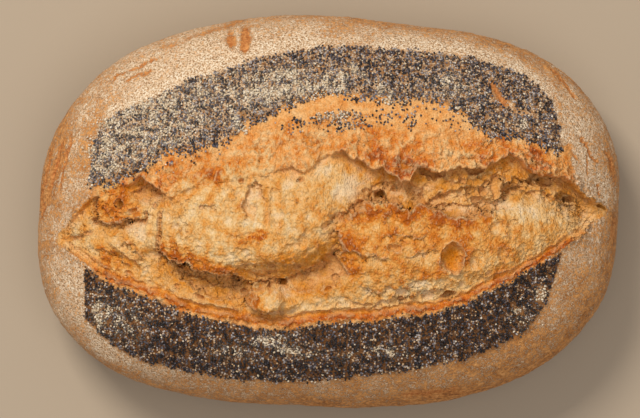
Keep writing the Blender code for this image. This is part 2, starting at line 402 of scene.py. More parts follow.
# %% Work out which slice and ring point each vertex is
sphere /= np.linalg.norm(sphere, axis=1, keepdims=True)
slice_of = np.rint(np.arccos(np.clip(-sphere[:, 0], -1, 1)) / math.pi * SLICES).astype(int)
turn = np.arctan2(sphere[:, 2], sphere[:, 1]) % (2 * math.pi)
point_of = np.rint(turn / (2 * math.pi) * RING_POINTS).astype(int) % RING_POINTS
pole = (slice_of == 0) | (slice_of == SLICES)
END_CROWDING = 0.35  # 0 spaces the slices evenly and 1 as on a sphere
even = np.arange(SLICES + 1) / SLICES
station = (1 - END_CROWDING) * even + END_CROWDING * (1 - np.cos(math.pi * even)) / 2
slice_x = outline[:, 0].min() + station * LENGTH
print(f"slices are {np.diff(slice_x).max() / MM:.2f} mm apart in the middle")


# %% Share out each ring's points
def ring_layout(x):
    """For slices at x: the middle and half width of each, and its points' turns from +Y over the top."""
    low = np.interp(x, front_arc[:, 0], front_arc[:, 1])
    high = np.interp(x, back_arc[:, 0], back_arc[:, 1])
    middle, half = (low + high) / 2, np.maximum((high - low) / 2, 1e-5)

    def turn_over(y):
        return np.arccos(np.clip((y - middle) / half, -1, 1))

    ear, lip = turn_over(ear_edge(x)), turn_over(lip_edge(x))
    centre = np.clip((ear + lip) / 2, 0.8, math.pi - 0.8)
    least = 0.05  # the crumb's points never crowd closer than this to the middle of the tear
    narrow = lip - ear < 2 * least
    ear = np.where(narrow, centre - least, ear)
    lip = np.where(narrow, centre + least, lip)
    ear_zone = np.minimum(turn_over(ear_edge(x) + 26 * MM), ear * 0.72)
    ear_zone = np.maximum(ear_zone, ear * 0.35)
    lip_zone = np.maximum(turn_over(lip_edge(x) - 5 * MM), lip + 0.01)
    lip_zone = np.minimum(lip_zone, lip + (math.pi - lip) * 0.25)
    count = np.cumsum([0, BACK, EAR_ZONE, CRUMB, LIP_ZONE, FRONT])
    stops = [0 * ear, ear_zone, ear, lip, lip_zone, 0 * ear + math.pi, 0 * ear + 2 * math.pi]
    counts = [*count, RING_POINTS]
    angles = np.empty((len(x), RING_POINTS))
    for row in range(len(x)):
        angles[row] = np.interp(np.arange(RING_POINTS), counts, [stop[row] for stop in stops])
    return middle, half, angles


middle, half, angles = ring_layout(slice_x)
grid_x = np.repeat(slice_x[:, None], RING_POINTS, axis=1)
grid_y = middle[:, None] + half[:, None] * np.cos(angles)
on_top = angles <= math.pi
grid_z = np.where(on_top, dome(grid_x, grid_y), underside(grid_x, grid_y))
CRUMB_FIRST, CRUMB_LAST = BACK + EAR_ZONE, BACK + EAR_ZONE + CRUMB
spacing = np.diff(grid_y[SLICES // 2, CRUMB_FIRST:CRUMB_LAST])
print(f"crumb points are {abs(spacing).mean() / MM:.2f} mm apart across the loaf")


# %% Which way is out
def outward(x, y, z):
    """The direction straight out of the surface at each point of the rings."""
    grid = np.stack([x, y, z], axis=2)
    along = np.gradient(grid, axis=0)
    around = np.roll(grid, -1, axis=1) - np.roll(grid, 1, axis=1)
    out = np.cross(around, along)
    out /= np.maximum(np.linalg.norm(out, axis=2, keepdims=True), 1e-12)
    return out


out = outward(grid_x, grid_y, grid_z)
print(f"the top points {out[SLICES // 2, RING_POINTS // 3]}")

# %% [markdown]
# ## Torn edges inside the crumb
#
# Under the ear, the crumb tore in layers, like wet cardboard: each layer ends in a ragged shelf that hangs
# over a shaded hollow. One function makes them all. It measures how far each point is from a shelf's edge,
# a line through a few places, lifts the side left of the line, drops the other side, and pushes the foot of
# the drop back underneath, so that the shelf truly overhangs.


# %% Distance to a frayed edge
def make_bends(x, y):
    """Three ways to bend the plane, so that a line drawn on it comes out ragged: shifts in x and in y."""
    return [[cloud(x, y, 0, 6 * MM, seed + 5 * axis, 5, 0.68) for axis in (0, 1)] for seed in (100, 120, 140)]


def edge_distance(x, y, places, bend, ragged=1.0):
    """Distance to the left of a line through places, negative to its right, and a fade to 0 at its ends."""
    x = x + ragged * 2.3 * MM * bend[0]
    y = y + ragged * 2.3 * MM * bend[1]
    nodes = np.array(places) * MM
    lengths = np.hypot(*np.diff(nodes, axis=0).T)
    starts = np.concatenate([[0], np.cumsum(lengths)])
    best = np.full(x.shape, 1.0)
    side = np.ones(x.shape)
    along = np.zeros(x.shape)
    for start, end, length, so_far in zip(nodes[:-1], nodes[1:], lengths, starts):
        direction = (end - start) / length
        rel_x, rel_y = x - start[0], y - start[1]
        t = np.clip((rel_x * direction[0] + rel_y * direction[1]) / length, 0, 1)
        gap = np.hypot(rel_x - t * length * direction[0], rel_y - t * length * direction[1])
        cross = direction[0] * rel_y - direction[1] * rel_x
        closer = gap < best - 1e-9
        best = np.where(closer, gap, best)
        side = np.where(closer, np.where(cross >= 0, 1.0, -1.0), side)
        along = np.where(closer, so_far + t * length, along)
    total = starts[-1]
    fade = between(along, 0, 0.18 * total) * between(total - along, 0, 0.18 * total)
    return side * best, fade


# %% Shelves
SHELVES = {  # in millimetres: drop, width of the drop, overhang, reach of the hollow, places of the edge
    "knob": (4.4, 1.0, 0.9, 3, [(-19, -35), (-23, -33), (-28, -32.4), (-33, -34), (-36.6, -38.2),
        (-34, -43.4), (-27, -45), (-20, -42.4)]),
    "arch": (3.0, 1.1, 0.8, 5, [(-91, 8), (-86, 11), (-79, 12.5), (-75, 8.5), (-71, 4)]),
    "flap": (4.4, 1.0, 1.2, 6, [(-106, -1.4), (-102.7, -3.4), (-99, -4.4), (-96.4, -5.4), (-92.8, -4.0),
        (-89.8, -4.4), (-87.6, -2.0), (-84, -1.8), (-79, 1.0)]),
    "tall bubble": (2.6, 1.0, 0.9, 5, [(-36.6, -6), (-37.4, 0), (-37.0, 6), (-35.4, 10.4), (-32.4, 12.6),
        (-29.4, 11.0), (-27.6, 6.4), (-27.8, 0)]),
    "nick": (1.8, 0.8, 0.6, 2, [(-57, 1.4), (-54.6, 2.9), (-51.6, 3.0), (-48.8, 1.6)]),
    "mound left": (7.5, 1.4, 2.2, 8, [(-77, -12), (-74, -18.4), (-67, -22.2), (-59.7, -25.6),
        (-52.4, -27.0), (-45, -28), (-38, -31), (-31, -33)]),
    "mound slope": (5.6, 12.0, 0.0, 8, [(-47, -18), (-38, -19), (-28, -19.5), (-18, -18.5), (-9, -15),
        (-2, -11), (3, -7)]),
    "slope foot": (2.4, 1.2, 0.8, 5, [(-36, -32.0), (-30, -31.2), (-22, -31.8), (-16, -29.6), (-9, -26.6),
        (-2.4, -22.6), (1, -17)]),
    "slope ledge": (1.5, 1.0, 0.7, 3, [(-44, -22), (-36, -23.4), (-27, -22.6), (-20, -24.5), (-12, -21)]),
    "groove bank": (3.0, 1.2, 0.8, 5, [(-36, -38.5), (-42, -40.6), (-49, -40.2), (-56.8, -37.4),
        (-61.2, -34.6), (-67, -30.8), (-72, -27)]),
    "groove layer": (1.6, 1.0, 0.8, 3, [(-41, -35.5), (-49, -35.2), (-56, -33.2), (-63, -29.8),
        (-69, -25.5)]),
    "front bank": (2.6, 1.2, 0.8, 5, [(8.5, -30), (5, -33), (-5, -35.3), (-12, -35.6), (-19, -37)]),
    "crest": (5.5, 1.3, 1.0, 7, [(84, 1.5), (75, 0.5), (66, -1.5), (62, -3), (56, -3.6), (52, -2.6),
        (48.4, 1.2), (43.2, 3.6), (39.5, 2.6), (36.6, -0.6), (33.5, 1), (29.3, 3.9), (23.4, 5.2),
        (17.8, 4.6), (14, 1), (9.4, -1), (3, -4.5), (-3.2, -8)]),
    "split": (2.2, 0.9, 0.3, 3, [(-4, -7.4), (2, -2.2), (7.9, 1.2), (12, 4.4), (17.4, 8.0), (23, 9.6)]),
    "valley sheet": (1.4, 0.8, 0.6, 3, [(13, 6), (17, 11), (23, 13.5), (29, 12.8), (34, 9)]),
    "second layer": (2.4, 1.1, 0.8, 4, [(34, 13), (38, 11), (41, 8.6), (44.5, 6.2), (49, 7.4), (56.5, 9.5),
        (64, 11), (68, 12.4), (73, 13.4), (76.5, 16), (80, 12.6), (84.5, 15.6), (90, 12.6), (93, 15),
        (100.5, 12.6), (106, 10)]),
    "middle layer": (1.3, 0.9, 0.6, 3, [(47, 12.5), (54, 13.8), (60, 13.2), (65, 15.2), (72, 17),
        (79, 18.6), (86, 17.5)]),
    "third layer": (1.9, 1.1, 0.7, 4, [(42, 4.5), (45.5, 3.4), (50.6, 2.2), (55, 3), (59.5, 3.8), (64, 4.6),
        (69, 6), (75, 4.6), (80, 10.2), (86.6, 9.4), (90.2, 8.2), (95.4, 10.2), (103.5, 5.2), (109.3, 5.4),
        (114, 3)]),
    "tip layer": (1.0, 0.9, 1.0, 3, [(92, 5), (98, 6.8), (104, 2), (110, 2.6), (116, 0)]),
    "west wall": (4.5, 1.2, 1.0, 6, [(3.6, -7), (3, -12), (5.4, -16), (2.8, -20), (6, -24), (9.4, -29.6)]),
    "low ledge": (2.0, 1.0, 0.8, 4, [(7, -17), (11, -17.2), (15, -19.6), (20, -18.4), (24, -20.4),
        (29, -20)]),
    "mid ledge": (1.3, 0.9, 0.6, 4, [(34, -19.6), (38, -19), (44.7, -17.4), (49, -17)]),
    "high ledge": (1.2, 0.8, 0.6, 3, [(22, -9.5), (27, -11.4), (33, -10), (39, -12.4), (45, -9)]),
    "front ledge": (1.8, 1.0, 0.8, 4, [(3, -38), (11, -39.4), (20, -40.6), (29, -38.5), (38, -36),
        (48, -33.5), (56, -31)]),
    "front layer": (1.3, 0.9, 0.7, 3, [(12, -33.5), (20, -35.5), (28, -33.4), (36, -31.8), (44, -29)]),
    "left layer": (1.5, 0.9, 0.7, 3, [(-108, -13), (-102, -16.6), (-97, -18), (-92, -23), (-87, -26.6)]),
    "left brow": (1.6, 0.9, 0.8, 4, [(-96, -12), (-90, -13.6), (-84, -19), (-80, -26)]),
}

# %% [markdown]
# ## Mounds, bubbles and strands
#
# The crumb also swelled in two big mounds, and gas bubbles burst on its surface and left bowls with thin
# rims. Strands of dough stretched across the hollows, and slits opened between them. Each is placed one by
# one, because the eye knows a loaf by such features, and finer noise fills in between them.

# %% Mounds, burst bubbles, folds and strands
MOUNDS = {  # in millimetres: x, y, half length, half width, turn in degrees, height, boxiness
    "big mound": (-37, -3, 42, 22, 3, 3.6, 4),
    "right mound": (47, -17, 54, 17, 5, 3.6, 3),
    "left swell": (-89, -13, 13, 9, -20, 1.6, 2),
    "flap body": (-95, 3.0, 9.0, 5.5, 24, 1.4, 2),
    "tall bubble": (-32, 3, 4.4, 9, 4, -1.0, 2),
    "knob": (-28.4, -38.8, 8.2, 5.8, 8, 6.8, 6),
    "knob shoulder": (-20, -41.5, 6, 3.4, -6, 2.4, 3),
    "left facet": (-91.5, -22.5, 7, 5, -38, -2.6, 4),
    "arch pocket": (-82, 8.5, 7.5, 4.6, 0, -3.0, 3),
    "valley": (30, 9, 22, 6, -8, -3.2, 2),
    "valley end": (66, 4, 40, 5, -2, -1.6, 2),
    "right tip": (111, 1.5, 9, 4, -25, -2.4, 2),
    "groove": (-52, -33.0, 17, 4.6, -14, -4.4, 3),
    "groove left": (-70, -25.0, 9, 3.4, -52, -3.0, 3),
    "groove right": (-9, -29.5, 15, 5.0, 14, -3.4, 3),
    "crest ridge": (25, 1.6, 16, 3.2, 6, 2.2, 3),
    "crest ridge right": (50, -3.0, 12, 3.0, -6, 1.6, 3),
    "west pocket": (-2, -24, 6, 6, 30, -1.6, 2),
}
BUBBLE_BOWLS = {  # x, y, half length, half width, turn, depth, and how much painted shadow darkens the bowl
    "tall beside": (-23.2, 2.4, 2.7, 8.8, 2, 1.1, 0.05),
    "round": (54.0, -20.3, 5.2, 6.6, 0, 5.2, 0.78),
    "dent": (65.0, -21.0, 3.4, 4.6, 0, 0.9, 0.15),
    "brown": (28.3, -15.6, 3.4, 1.3, -8, 2.6, 0.7),
    "front hole": (53.2, -36.9, 3.3, 2.0, 10, 4.4, 1.0),
    "front pinhole": (32.6, -39.4, 1.9, 1.3, 0, 3.4, 0.78),
    "front pocket": (32.5, -36.6, 3.0, 2.4, 20, 1.6, 0.35),
    "ear hole": (-12.5, 13.6, 1.9, 0.9, 30, 2.6, 0.9),
    "ear pinhole": (-38.8, 13.6, 1.3, 1.2, 0, 3.0, 0.78),
    "valley hole": (23.0, 8.4, 2.6, 1.5, 22, 4.0, 1.0),
    "valley pinhole": (29.5, 10.2, 1.2, 1.2, 0, 2.4, 0.78),
    "ear pocket": (45.4, 16.2, 4.8, 2.0, -14, 3.0, 0.88),
    "ear pocket beside": (66.0, 17.4, 4.2, 1.5, 6, 2.6, 0.86),
    "ear pocket right": (95.2, 12.4, 5.6, 2.0, -8, 2.8, 0.88),
    "ear pocket far": (107.4, 5.6, 6.0, 1.7, -24, 2.6, 0.88),
    "right layer pocket": (82.6, 10.0, 4.6, 1.7, 8, 2.2, 0.85),
    "low layer pocket": (51.4, 2.8, 3.0, 1.0, 8, 1.8, 0.7),
    "layer hole right": (51.4, 15.6, 1.2, 1.0, 0, 2.6, 0.78),
    "tip hole": (109.3, 4.6, 2.2, 1.4, -20, 3.2, 1.0),
    "tip hole left": (104.0, 6.0, 1.6, 1.2, 0, 2.8, 0.78),
    "tip seam": (122.4, 2.0, 3.4, 1.1, -36, 2.4, 1.0),
    "right dent": (73.3, -7.4, 3.0, 3.0, 0, 1.2, 0.15),
    "right dent low": (76.0, -18.5, 2.0, 2.6, 10, 1.4, 0.3),
    "flap hole": (-92.8, 3.7, 1.5, 2.3, 10, 3.6, 1.0),
    "flap hole right": (-86.6, 0.2, 2.0, 0.9, 20, 2.6, 0.78),
    "flap slit": (-95.7, -0.7, 0.8, 1.7, -14, 2.2, 0.78),
    "arch hole": (-77.6, 2.6, 1.4, 1.0, 40, 2.6, 0.78),
    "groove hole": (-57.6, -38.4, 2.6, 1.1, -24, 3.2, 0.78),
    "groove hole right": (-38.6, -37.6, 1.8, 1.0, -30, 2.6, 0.78),
    "knob hole left": (-32.6, -33.6, 2.2, 1.2, 10, 3.0, 1.0),
    "knob side hole": (-37.2, -41.0, 1.0, 1.6, 0, 2.4, 0.9),
    "knob hole right": (-20.6, -32.8, 3.0, 1.6, -28, 3.4, 1.0),
    "left pinhole": (-90.6, -27.6, 1.6, 1.1, 0, 1.8, 0.78),
    "left slit": (-86.4, -16.5, 1.0, 3.0, 20, 1.4, 0.5),
    "west hole": (2.4, -30.0, 1.6, 1.0, 20, 2.4, 0.78),
    "slope hole": (-14.0, -24.5, 2.0, 1.2, 20, 2.2, 0.78),
    "under split": (-0.6, -5.6, 3.4, 1.2, 42, 2.0, 0.5),
    "valley pocket": (38.4, 9.2, 4.6, 2.6, -10, 1.8, 0.4),
    "layer pocket": (59.4, 13.6, 1.5, 1.1, 0, 2.6, 0.78),
    "floor pocket": (66.4, 5.4, 2.2, 1.4, 10, 2.6, 0.6),
    "behind bridge": (79.6, 9.6, 2.6, 3.6, 0, 3.0, 0.75),
    "before bridge": (70.0, 9.4, 2.0, 2.8, 0, 2.4, 0.65),
    "right side dent": (62.6, -22.4, 3.0, 3.0, 0, 1.0, 0.1),
    "right pits": (77.4, -20.6, 1.2, 1.8, 0, 1.5, 0.5),
    "right pits low": (70.0, -27.2, 2.0, 1.1, 20, 1.2, 0.4),
    "left side pit": (-68.0, -33.4, 1.4, 1.0, -20, 1.8, 0.78),
    "west hole low": (-0.5, -34.6, 2.0, 1.0, 14, 2.0, 0.78),
}
SKIN_FOLDS = {  # dents in the bare skin behind the ear, numbered as a bowl, the last for their painted shade
    "brow": (-32.0, 27.4, 6.2, 1.1, 14, 1.5, 0.7),
    "brow left": (-61.0, 19.4, 2.4, 0.9, 60, 1.3, 0.7),
    "brow right": (-8.0, 30.0, 5.0, 1.0, -8, 1.2, 0.7),
    "brown hollow": (34.0, 20.6, 4.0, 1.0, -30, 1.3, 0.7),
    "right fold": (62.0, 23.5, 4.0, 0.9, -10, 1.2, 0.7),
    "right fold low": (92.0, 21.5, 4.6, 0.9, -24, 1.2, 0.7),
    "left ear fold": (-86.0, 17.0, 5.4, 0.9, 24, 1.3, 0.7),
}
STRANDS = {  # half width, height, places
    "facet ridge": (1.1, 1.8, [(-99, -12), (-95, -14.4), (-89.8, -19.8), (-83.2, -24.3)]),
    "left tip seam": (0.5, -1.8, [(-123, -12.8), (-116, -12.2), (-110, -11), (-105, -8.6)]),
    "left slit": (0.7, -4.2, [(-102.6, 7.5), (-104.6, 2), (-103.8, -1.5), (-104.8, -6.5)]),
    "slit": (0.5, -3.4, [(-73.6, 3.0), (-75.2, -3), (-74.6, -9), (-75.8, -15), (-75.0, -24)]),
    "slope rib": (0.8, 1.4, [(-80.5, 6), (-79, -1), (-80.5, -8), (-81, -15)]),
    "bridge": (0.9, 3.4, [(77.6, 17.5), (76.8, 11), (74.4, 3.6)]),
    "bridge beside": (0.8, 2.6, [(70.2, 12.5), (72.2, 7.5), (74, 3)]),
    "bridge right": (0.9, 2.4, [(91.6, 15), (95, 10.5), (94.4, 6)]),
    "bridge left": (0.8, 2.0, [(62.2, 13), (60.5, 9), (62.5, 4.4)]),
    "mound crease": (1.0, -1.4, [(-27.4, 12), (-27.0, 2), (-26.6, -8)]),
    "bowl strand": (0.9, 1.5, [(48.6, -19), (52.0, -25.0), (55.6, -28.4), (59.0, -24.6)]),
    "seam": (0.6, -1.2, [(-98, 12.5), (-88, 16.4), (-79, 18.5), (-70, 21.5)]),
    "lip strand": (0.8, 1.6, [(-70, -36.6), (-60, -39.6), (-48, -42.0), (-38, -44.6)]),
    "lip strand right": (0.8, 1.6, [(-16, -45.4), (-4, -43.4), (8, -42.6), (22, -42.8), (36, -40.2),
        (50, -38.8)]),
}


def turned(x, y, middle_x, middle_y, half_length, half_width, turn):
    """Distance from a middle, as shares of the half length and half width."""
    cosine, sine = math.cos(math.radians(turn)), math.sin(math.radians(turn))
    along = ((x - middle_x * MM) * cosine + (y - middle_y * MM) * sine) / (half_length * MM)
    across = ((y - middle_y * MM) * cosine - (x - middle_x * MM) * sine) / (half_width * MM)
    return np.hypot(along, across)


def spots(x, y, table):
    """Soft oval patches of a table, added up."""
    total = 0
    for *place, amount, boxiness in table.values():
        total = total + amount * bell(turned(x, y, *place), 1, boxiness)
    return total


def bowl_height(x, y, bowl, ripple):
    """A burst bubble: its height below the surface, its thin rim, and the distance from its middle."""
    *place, depth = bowl[:6]
    narrowest = min(place[2:4])
    ragged = 0.16 if narrowest > 3 else 0.5
    reach = turned(x, y, *place) * (1 + ragged * ripple)
    rim = np.exp(-(((reach - 1.1) * narrowest / 0.42) ** 2))
    steep = min(0.9, 1 - 1.6 / (place[2] + place[3]))
    return -depth * MM * (1 - between(reach, steep - 0.15, 1.0)), rim, reach


# %% [markdown]
# ## Sculpting the crumb
#
# All the forms are now added up over the crumb's part of each ring. Four things are kept for each point
# besides its height: browning, because torn edges toast first, shade, how much shade the materials paint
# into the hollows, pale, how much highlight they paint along thin rims and crests, and the sideways push that
# makes the overhangs.

# %% Add up the forms
crumb = (slice(None), slice(CRUMB_FIRST, CRUMB_LAST + 1))
x, y = grid_x[crumb], grid_y[crumb]
ear_y, lip_y = ear_edge(slice_x)[:, None], lip_edge(slice_x)[:, None]
opening = between((ear_y - lip_y), 1 * MM, 14 * MM)  # 0 at the tear's tips, where nothing has opened
height = np.zeros(x.shape)
push_x, push_y = np.zeros(x.shape), np.zeros(x.shape)
# shade is the painted shade of the crumb's colour, and pale its painted highlight
browning, shade, pale = np.zeros(x.shape), np.zeros(x.shape), np.zeros(x.shape)
edge_breaks = between(cloud(x, y, 0, 3.5 * MM, 98, 2), -0.25, 0.15)

bent_x = x + 1.5 * MM * cloud(x, y, 0, 7 * MM, 90, 4, 0.6)
bent_y = y + 1.5 * MM * cloud(x, y, 0, 7 * MM, 95, 4, 0.6)
for *place, rise, boxiness in MOUNDS.values():
    swelling = rise * MM * bell(turned(bent_x, bent_y, *place), 1, boxiness)
    height += swelling
    # dips get painted shade
    shade = np.maximum(shade, -swelling / (6 * MM))

bends = make_bends(x, y)
for number, (drop, run, overhang, reach, places) in enumerate(SHELVES.values()):
    distance, fade = edge_distance(x, y, places, bends[number % 3])
    fall = between(-distance, -0.3 * MM, run * MM)
    hollow = fall * trail(-distance - run * MM, reach * MM) * fade
    torn_edge = run < 3  # and not a gentle slope
    lift = bell(distance, 2.2 * MM) * (distance > -0.3 * MM) * fade * torn_edge
    height += -drop * MM * hollow + 0.15 * drop * MM * lift
    slope_x, slope_y = np.gradient(distance, axis=0), np.gradient(distance, axis=1)
    step_x, step_y = np.gradient(x, axis=0), np.gradient(y, axis=1)
    toward_x, toward_y = slope_x / step_x, slope_y / np.where(np.abs(step_y) < 1e-7, -1e-7, step_y)
    size = np.maximum(np.hypot(toward_x, toward_y), 0.3)
    under = overhang * MM * between(-distance, 0, 1.2 * MM) * trail(-distance - 1.2 * MM, 1.6 * MM) * fade
    push_x += under * toward_x / size
    push_y += under * toward_y / size
    toasted = bell(np.maximum(distance, 0), 1.8 * MM) * (distance > -0.5 * MM)
    browning += min(0.25 * drop, 0.8) * toasted * fade * torn_edge
    # the hollow below the shelf gets painted shade, and the edge a painted highlight
    shade = np.maximum(shade, hollow * min(drop / 5, 1) * (1 if torn_edge else 0.6))
    pale = np.maximum(pale, bell(distance - 0.1 * MM, 0.45 * MM) * fade * edge_breaks * torn_edge)

print(f"height from {height.min() / MM:.1f} to {height.max() / MM:.1f} mm")

# %% The ear's and the lip's own drops
from_ear, from_lip = np.maximum(ear_y - y, 0), np.maximum(y - lip_y, 0)
ear_drop = course(EAR_DROPS, slice_x)[:, None]
ear_fall = between(from_ear, 0, 1.3 * MM) * trail(from_ear - 1.3 * MM, 9 * MM)
height -= ear_drop * ear_fall
ear_overhang = np.minimum(0.38 * ear_drop, 2.4 * MM)
push_y += ear_overhang * between(from_ear, 0, 1.4 * MM) * trail(from_ear - 1.4 * MM, 2.2 * MM)
# painted shade where the crumb falls away below the ear
shade = np.maximum(shade, ear_fall * np.clip(ear_drop / (5 * MM), 0, 1))
# a band of painted dark shadow just under the ear's overhang, broken by noise
shadow_under_ear = bell(from_ear - 2.4 * MM, 1.5 * MM) * between(ear_drop, 2.5 * MM, 5 * MM)
shadow_under_ear = shadow_under_ear * between(cloud(x, y, 0, 4 * MM, 340, 3), -0.2, 0.15)
lip_fall = between(from_lip, 0.6 * MM, 2.2 * MM) * trail(from_lip - 2.2 * MM, 4 * MM)
height -= 1.8 * MM * lip_fall * opening
for seed, away, wander in ((350, 1.4, 1.0), (360, 3.6, 2.0)):  # two ridges that run along the lip
    ridge_line = (away + wander * cloud(x, 0, 0, 14 * MM, seed, 3)) * MM
    ridge_line = ridge_line + 0.5 * MM * cloud(x, y, 0, 2.5 * MM, seed + 3, 3)
    torn_off = between(cloud(x, 0, 0, 11 * MM, seed + 6, 2), -0.25, 0.1)
    ridge = bell(from_lip - ridge_line, 0.75 * MM) * torn_off * opening
    height += 1.0 * MM * ridge
    browning += 0.55 * ridge
    # the ridges also get a painted highlight
    pale = np.maximum(pale, 0.4 * ridge)
# towards the tear's ends the lip lies flat and doesn't toast
lip_curl = bell(from_lip, 3.0 * MM, 4) * opening * between(x, -0.114, -0.090) * (1 - between(x, 0.098, 0.112))
browning += 1.7 * lip_curl * (1 + 0.5 * cloud(x, y, 0, 5 * MM, 370, 3))
# painted shade where the crumb drops inside the lip
shade = np.maximum(shade, 0.3 * lip_fall * opening)
print(f"the ear stands up to {ear_drop.max() / MM:.1f} mm above the crumb")

# %% Strands, slits and burst bubbles
edge_height = height[:, [0, -1]].copy()  # along the ear and along the lip, before texture
warp_x = x + 0.6 * MM * cloud(x, y, 0, 5 * MM, 300, 3)
warp_y = y + 0.6 * MM * cloud(x, y, 0, 5 * MM, 310, 3)
ripple = cloud(x, y, 0, 2.4 * MM, 500, 3)
detail = np.zeros(x.shape)
near_detail = np.zeros(x.shape)
for number, (half_width, rise, places) in enumerate(STRANDS.values()):
    distance, fade = edge_distance(x, y, places, bends[number % 3], 0.4)
    near = bell(distance, half_width * MM) * fade
    detail += rise * MM * near
    near_detail = np.maximum(near_detail, 0.7 * near)
    # raised strands get a painted highlight, and slits painted shade
    browning += 0.2 * near * (rise > 0)
    pale = np.maximum(pale, 0.8 * near * (rise > 0))
    shade = np.maximum(shade, near * (rise < 0))
# how much dark brown shadow is painted in the burst bubbles and just under the ear; their rims get a painted
# highlight
hole_shade = 0.82 * shadow_under_ear
for bowl in BUBBLE_BOWLS.values():
    bowl_depth, rim, reach = bowl_height(warp_x, warp_y, bowl, ripple)
    deep, dark = bowl[-2:]
    hole_shade = np.maximum(hole_shade, -bowl_depth / (deep * MM) * dark)
    near_detail = np.maximum(near_detail, 0.7 * (1 - between(reach, 1.1, 1.4)))
    detail += bowl_depth + 0.35 * MM * rim
    pale = np.maximum(pale, 0.7 * rim * min(deep / 3, 1) * edge_breaks)
print(f"strands and bubbles from {detail.min() / MM:.1f} to {detail.max() / MM:.1f} mm")

# %% [markdown]
# ## The torn texture
#
# Torn dough has four things between its big forms: thin sheets that end in ragged steps, pockets left by gas,
# fibres pulled out as the tear opened, and places that stayed smooth. Noise that is cut into whole levels
# gives the sheets, cells give the pockets, and noise stretched along Y gives the fibres. The same texture,
# weaker, also roughens the bare skin beside the tear.


# %% Texture of torn dough
def pocket_depth(x, y, size, seed, rarity):
    """Round pockets, 1 at the bottom, in a share of the cells, with steep walls."""
    middle, token = bubbles(x, y, size, seed)
    return np.minimum(1.5 * middle, 1) ** 0.8 * between(token, rarity, rarity + 0.1)


def torn_texture(x, y, sheeted, pocketed, fibrous=0, seed=600):
    """Height of torn dough. Its sheets, its pockets and its fibres each have a strength from 0 to about 1."""
    wander_x = x + 1.8 * MM * cloud(x, y, 0, 8 * MM, seed, 4, 0.6)
    wander_y = y + 1.8 * MM * cloud(x, y, 0, 8 * MM, seed + 5, 4, 0.6)
    rise = 0
    for size, step, shift in ((10 * MM, 0.6, 10), (4.8 * MM, 0.26, 15)):
        level = 2.8 * cloud(wander_x, 0.85 * wander_y, 0, size, seed + shift, 5, 0.6)
        part = level - np.floor(level)
        sheets = np.floor(level) + 1.2 * between(part, 0.72, 0.98) - 0.7 * level
        rise = rise + step * sheets * sheeted
    crest, share = 0, 1
    for size, tall, shift in ((5.2 * MM, 0.75, 50), (2.6 * MM, 0.55, 55), (1.4 * MM, 0.38, 60)):
        ridge = np.clip(1 - 2.2 * np.abs(noise(wander_x, wander_y, 0, size, seed + shift)), 0, 1)
        crest = crest + tall * ridge * share
        share = 0.3 + 0.7 * ridge
    rise = rise + crest * (0.4 + 0.6 * pocketed)
    for size, depth, rarity, shift in ((4.6 * MM, 1.2, 0.66, 20), (2.4 * MM, 0.8, 0.55, 25)):
        rise = rise - depth * pocket_depth(wander_x, 0.9 * wander_y, size, seed + shift, rarity) * pocketed
    if np.any(fibrous):
        fibre = (1 - np.abs(noise(wander_x + 0.4 * wander_y, 0.24 * wander_y, 0, 1.3 * MM, seed + 35))) ** 2
        rise = rise + 0.16 * (fibre - 0.5) * fibrous
    grain = cloud(x, y, 0, 1.5 * MM, seed + 40, 2, 0.7)
    return MM * (rise + 0.34 * grain + 0.4 * cloud(x, y, 0, 12 * MM, seed + 45, 2))


# %% Texture the crumb
SMOOTH_PLACES = {  # x, y, half length, half width, turn, amount, boxiness, as in every table of spots
    "left facet top": (-110, -2.5, 7, 3.5, 50, 0.75, 3),
    "left facet": (-104, -13, 8, 5, -45, 0.6, 3),
    "slit slope": (-79.5, -8, 4, 11, 4, 0.7, 3),
    "tall bubble": (-32, 0, 5, 12, 4, 0.5, 4),
    "round bowl": (54.2, -20.6, 5, 6, 0, 0.8, 4),
    "valley floor": (19, 8.5, 10, 4.5, 10, 0.7, 3),
    "valley floor right": (36, 6.5, 7, 4, -10, 0.6, 3),
    "right floor": (84, 2.5, 13, 5, -12, 0.6, 3),
    "far right": (97, -5, 16, 7, -15, 0.55, 3),
    "middle face": (6, 13, 9, 9, 0, 0.5, 3),
    "mound face": (-48, 0, 12, 9, 0, 0.4, 3),
    "right face": (66, -16, 8, 8, 0, 0.35, 3),
    "knob": (-27, -38, 6, 4, 0, 0.5, 3),
    "left low": (-92, -20, 12, 7, -38, 0.5, 3),
    "behind right": (88, 12, 13, 4.5, -12, 0.65, 3),
    "bridges": (76, 11, 9, 6, 0, 0.6, 3),
}
SHADED_PLACES = {  # where the crumb gets more painted golden shade
    "groove": (-54, -34, 20, 7.5, -16, 0.6, 3),
    "right of knob": (-6, -35, 15, 4.5, 14, 0.35, 3),
    "slope": (-17, -24.5, 21, 6.5, 10, 0.5, 3),
    "west side": (0, -22, 5, 8, 0, 0.35, 3),
    "below ear": (66, 13, 38, 6.5, -4, 0.45, 3),
    "valley": (20, 10, 12, 4, 14, 0.25, 3),
    "left tip": (-107, 1, 7, 7, -40, 0.35, 3),
    "right tip": (111, 6.5, 11, 4.5, -24, 0.5, 3),
    "arch": (-84, 9, 8, 4, 0, 0.3, 3),
}


